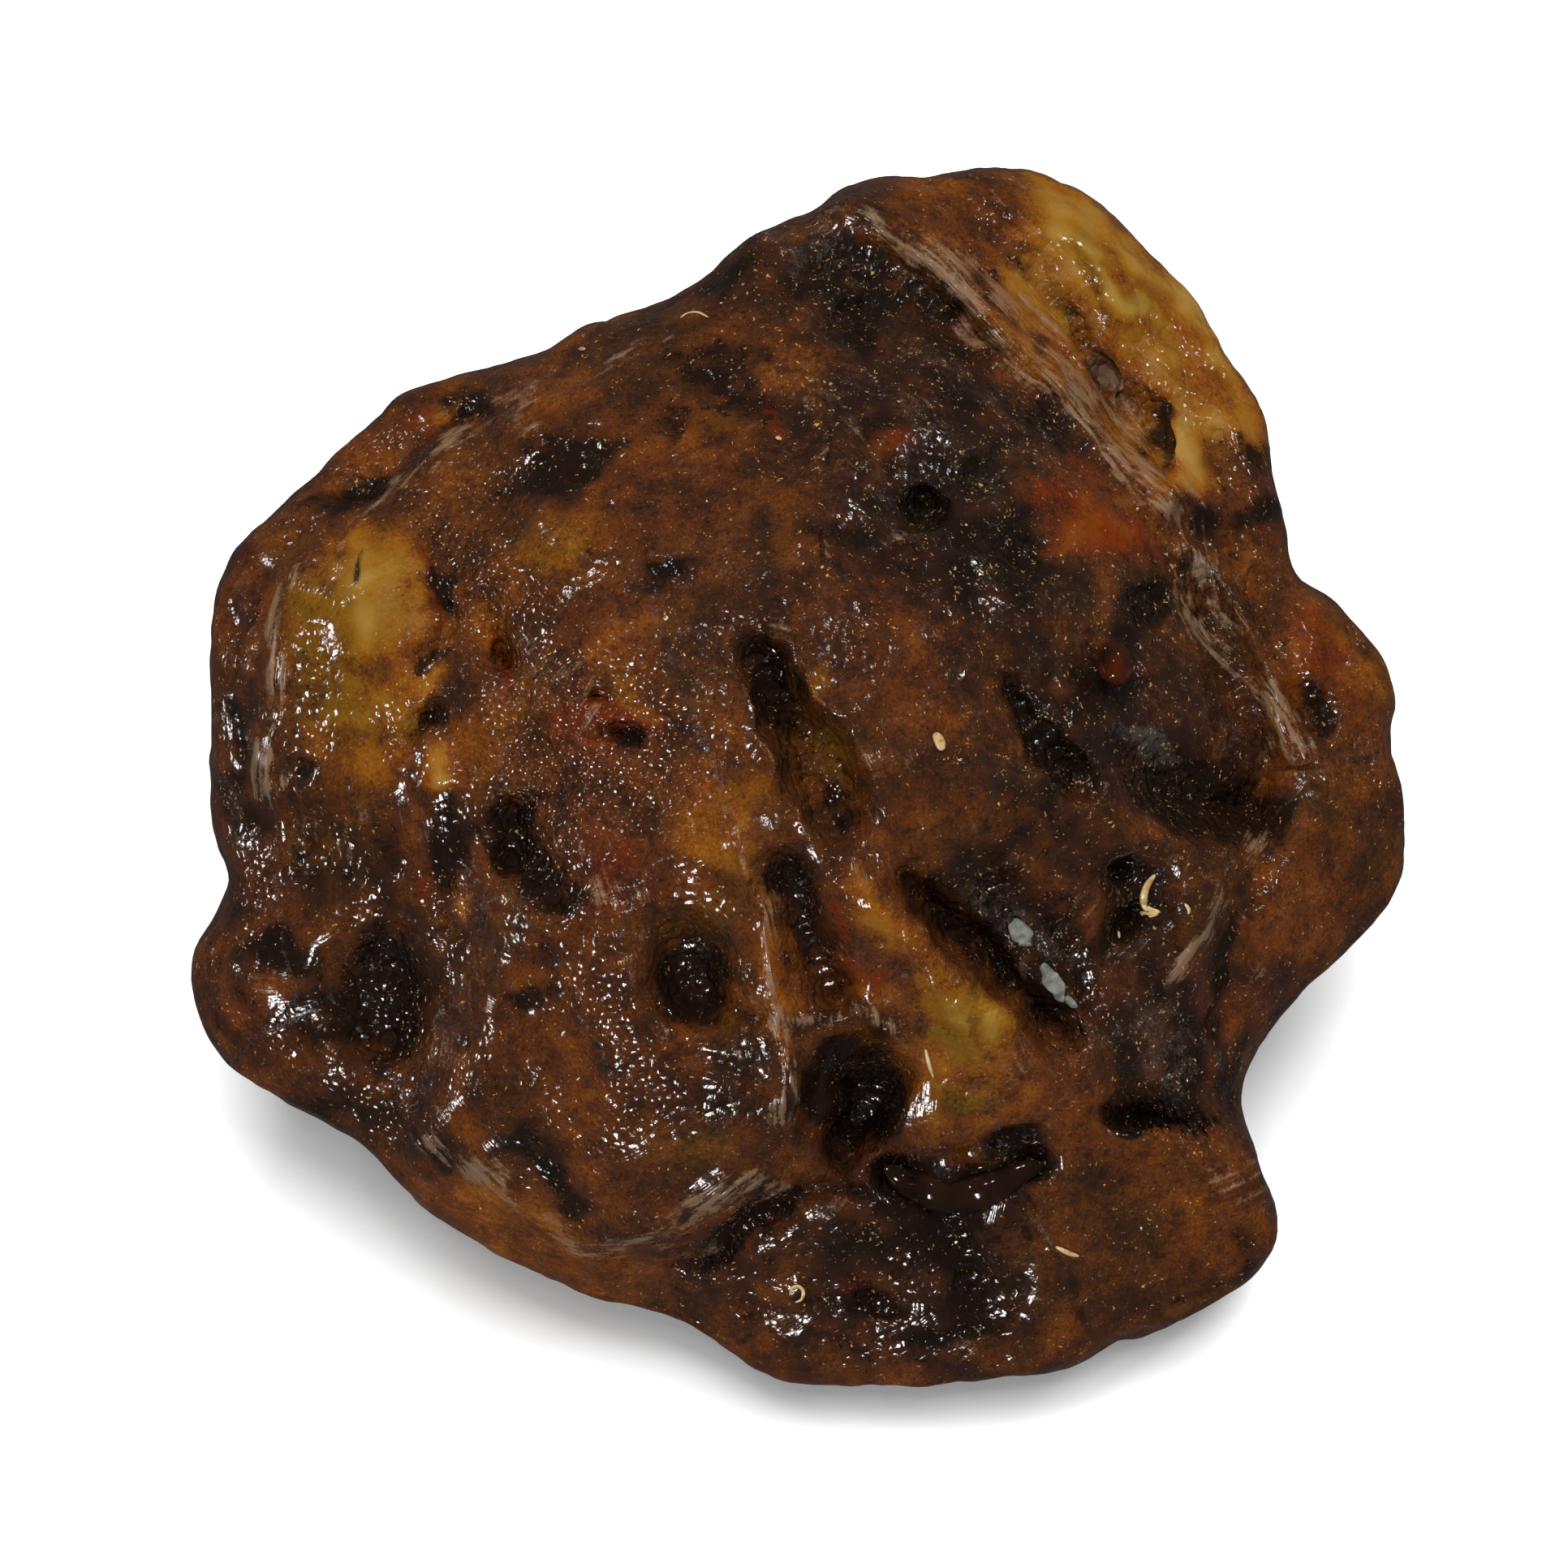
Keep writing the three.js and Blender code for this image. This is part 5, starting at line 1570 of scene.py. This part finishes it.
@dataclass
class GoldenFlakes:
    """Curled golden flakes stuck to the crust: each one's path on the face and its width."""

    flakes: tuple[tuple[Path, float], ...] = (
        (((13.75, -3.35), (13.45, -3.75), (13.3, -4.2), (13.45, -4.6), (13.95, -4.75)), 0.3),
        (((13.2, -4.75), (13.5, -4.85), (13.9, -4.8)), 0.24),
        (((5.45, 1.85), (5.65, 1.55), (5.75, 1.2)), 0.42),
        (((5.2, -9.7), (5.3, -10.2), (5.5, -10.85)), 0.16),
        (((-3.85, 17.3), (-3.6, 17.5), (-3.2, 17.55), (-2.8, 17.35)), 0.13),
        (((10.05, -17.15), (10.5, -17.35), (10.95, -17.5)), 0.18),
        (((0.2, -18.95), (0.3, -18.65), (0.55, -18.6), (0.72, -18.8), (0.65, -19.1), (0.4, -19.2)), 0.14),
        (((14.8, -4.4), (14.95, -4.6), (14.95, -4.8)), 0.14),
        (((-7.6, 16.15), (-7.35, 16.1)), 0.2),
        (((-0.3, 12.9), (0, 12.85)), 0.2),
        (((12.3, -5.5), (12.35, -5.8)), 0.12),
    )
    lift: float = 0.05
    steps: int = 8
    easing: int = 3
    fullness: float = 0.4
    thinness: float = 5.0
    finish: FlakeFinish = FlakeFinish()

    def build(self, nugget: AmberNugget) -> bpy.types.Object:
        """A thin oval carried along each smoothed path, just proud of the surface and tapered at its ends.

        Args:
            nugget: What the flakes lie on.

        Returns:
            The flakes' object.
        """
        solids = []
        for path, width in self.flakes:
            centres, ups = nugget.laid(path, self.steps, self.easing)
            swell = np.sin(math.pi * np.linspace(0, 1, len(centres))) ** self.fullness
            half, thick = swell * width / 2, swell * width / self.thinness
            solids.append(carried_profile(centres + ups * self.lift, ups, half, thick))
        points, faces = join(solids)
        piece = new_mesh("golden_flakes", points * MM, faces)
        piece.data.materials.append(self.finish.material())
        return piece


@dataclass(frozen=True)
class Softbox:
    """A soft light: where it stands from the nugget, in the face frame, its size and its power in watts."""

    name: str
    towards: tuple[float, float, float]
    distance: float
    size: float
    power: float
    mirrored: bool = True

    def place(self, aim: Vector, axes: Array) -> None:
        """Makes the light and turns it to the nugget.

        Args:
            aim: What it points at, in metres.
            axes: The face frame's u, v and w as rows.
        """
        lamp = bpy.data.lights.new(self.name, "AREA")
        lamp.size = self.size
        lamp.energy = self.power
        light = bpy.data.objects.new(self.name, lamp)
        direction = Vector(np.array(self.towards) @ axes).normalized()
        light.location = aim + direction * self.distance
        light.rotation_euler = direction.to_track_quat("Z", "Y").to_euler()
        light.visible_glossy = self.mirrored
        bpy.context.scene.collection.objects.link(light)


@dataclass
class Studio:
    """The pale floor, the soft lights and the camera that looks straight at the broad face."""

    floor_size: float = 6.0
    frame_width: float = 0.0585
    camera_distance: float = 0.5
    sensor: float = 36.0
    world_light: float = 0.05
    floor_tone: float = 0.97
    far_clip: float = 20.0
    lights: tuple[Softbox, ...] = (
        Softbox("key_softbox", (0.1, 0.66, 0.74), 0.7, 0.8, 12.6, False),
        Softbox("fill_softbox", (-0.15, -0.1, 0.98), 0.9, 1.2, 3.6, False),
        Softbox("low_lamp", (-0.26, -0.66, 0.7), 0.5, 0.1, 0.95),
        Softbox("side_lamp", (-1.0, 0.02, 0.06), 0.5, 0.08, 0.45),
        Softbox("upper_lamp", (-0.68, 0.7, 0.2), 0.5, 0.04, 0.14),
        Softbox("right_lamp", (0.7, 0.55, 0.46), 0.6, 0.04, 0.28),
        Softbox("front_lamp", (-0.1, 0.12, 0.98), 0.45, 0.03, 0.1),
    )

    def build(self, origin: Array) -> None:
        """Lays the floor, lights it and sets the camera.

        Args:
            origin: Where the face frame's origin stands, in mm.
        """
        scene = bpy.context.scene
        scene.view_settings.view_transform = "Standard"
        half = self.floor_size / 2
        corners = np.array([(-half, -half, 0), (half, -half, 0), (half, half, 0), (-half, half, 0)])
        floor = new_mesh("floor", corners, [[0, 1, 2, 3]])
        floor.visible_glossy = False
        bench = Bench("pale_floor")
        bench.set(Base_Color=(self.floor_tone,) * 3 + (1.0,), Roughness=0.8, Specular_IOR_Level=0.2)
        floor.data.materials.append(bench.material)
        world = bpy.data.worlds.new("studio_air")
        world.use_nodes = True
        world.node_tree.nodes["Background"].inputs["Color"].default_value = (self.world_light,) * 3 + (1.0,)
        scene.world = world
        lean_cos, lean_sin = math.cos(FACE_LEAN), math.sin(FACE_LEAN)
        axes = np.array([(1, 0, 0), (0, lean_sin, lean_cos), (0, -lean_cos, lean_sin)])
        low, high = (np.array(corner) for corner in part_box(NODE))
        aim = Vector((low + high) / 2)
        for softbox in self.lights:
            softbox.place(aim, axes)
        self.camera(Vector(origin) * MM, axes)

    def camera(self, target: Vector, axes: Array) -> None:
        """Sets the camera off the face along w, upright along v.

        Args:
            target: What the picture's middle shows, in metres.
            axes: The face frame's u, v and w as rows.
        """
        data = bpy.data.cameras.new("studio_camera")
        data.sensor_width = self.sensor
        data.lens = self.sensor * self.camera_distance / self.frame_width
        data.clip_end = self.far_clip
        camera = bpy.data.objects.new("studio_camera", data)
        camera.location = target + Vector(axes[2]) * self.camera_distance
        camera.rotation_euler = Vector(axes[2]).to_track_quat("Z", "Y").to_euler()
        bpy.context.scene.collection.objects.link(camera)
        bpy.context.scene.camera = camera


def main() -> None:
    """Builds the studio, the nugget and what sits on it, and reports each piece."""
    logging.basicConfig(level=logging.INFO, format="%(name)s: %(message)s")
    nugget = AmberNugget()
    skins = [nugget.build(), BEAD.build(nugget), LIP.build(nugget)]
    pieces = skins + [ClayCrumbs().build(nugget), GoldenFlakes().build(nugget)]
    Studio().build(nugget.origin)
    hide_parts(NODE)
    for piece in pieces:
        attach(piece, BODY)
        LOG.info("%s: %d faces", piece.name, len(piece.data.polygons))


if __name__ == "__main__":
    main()
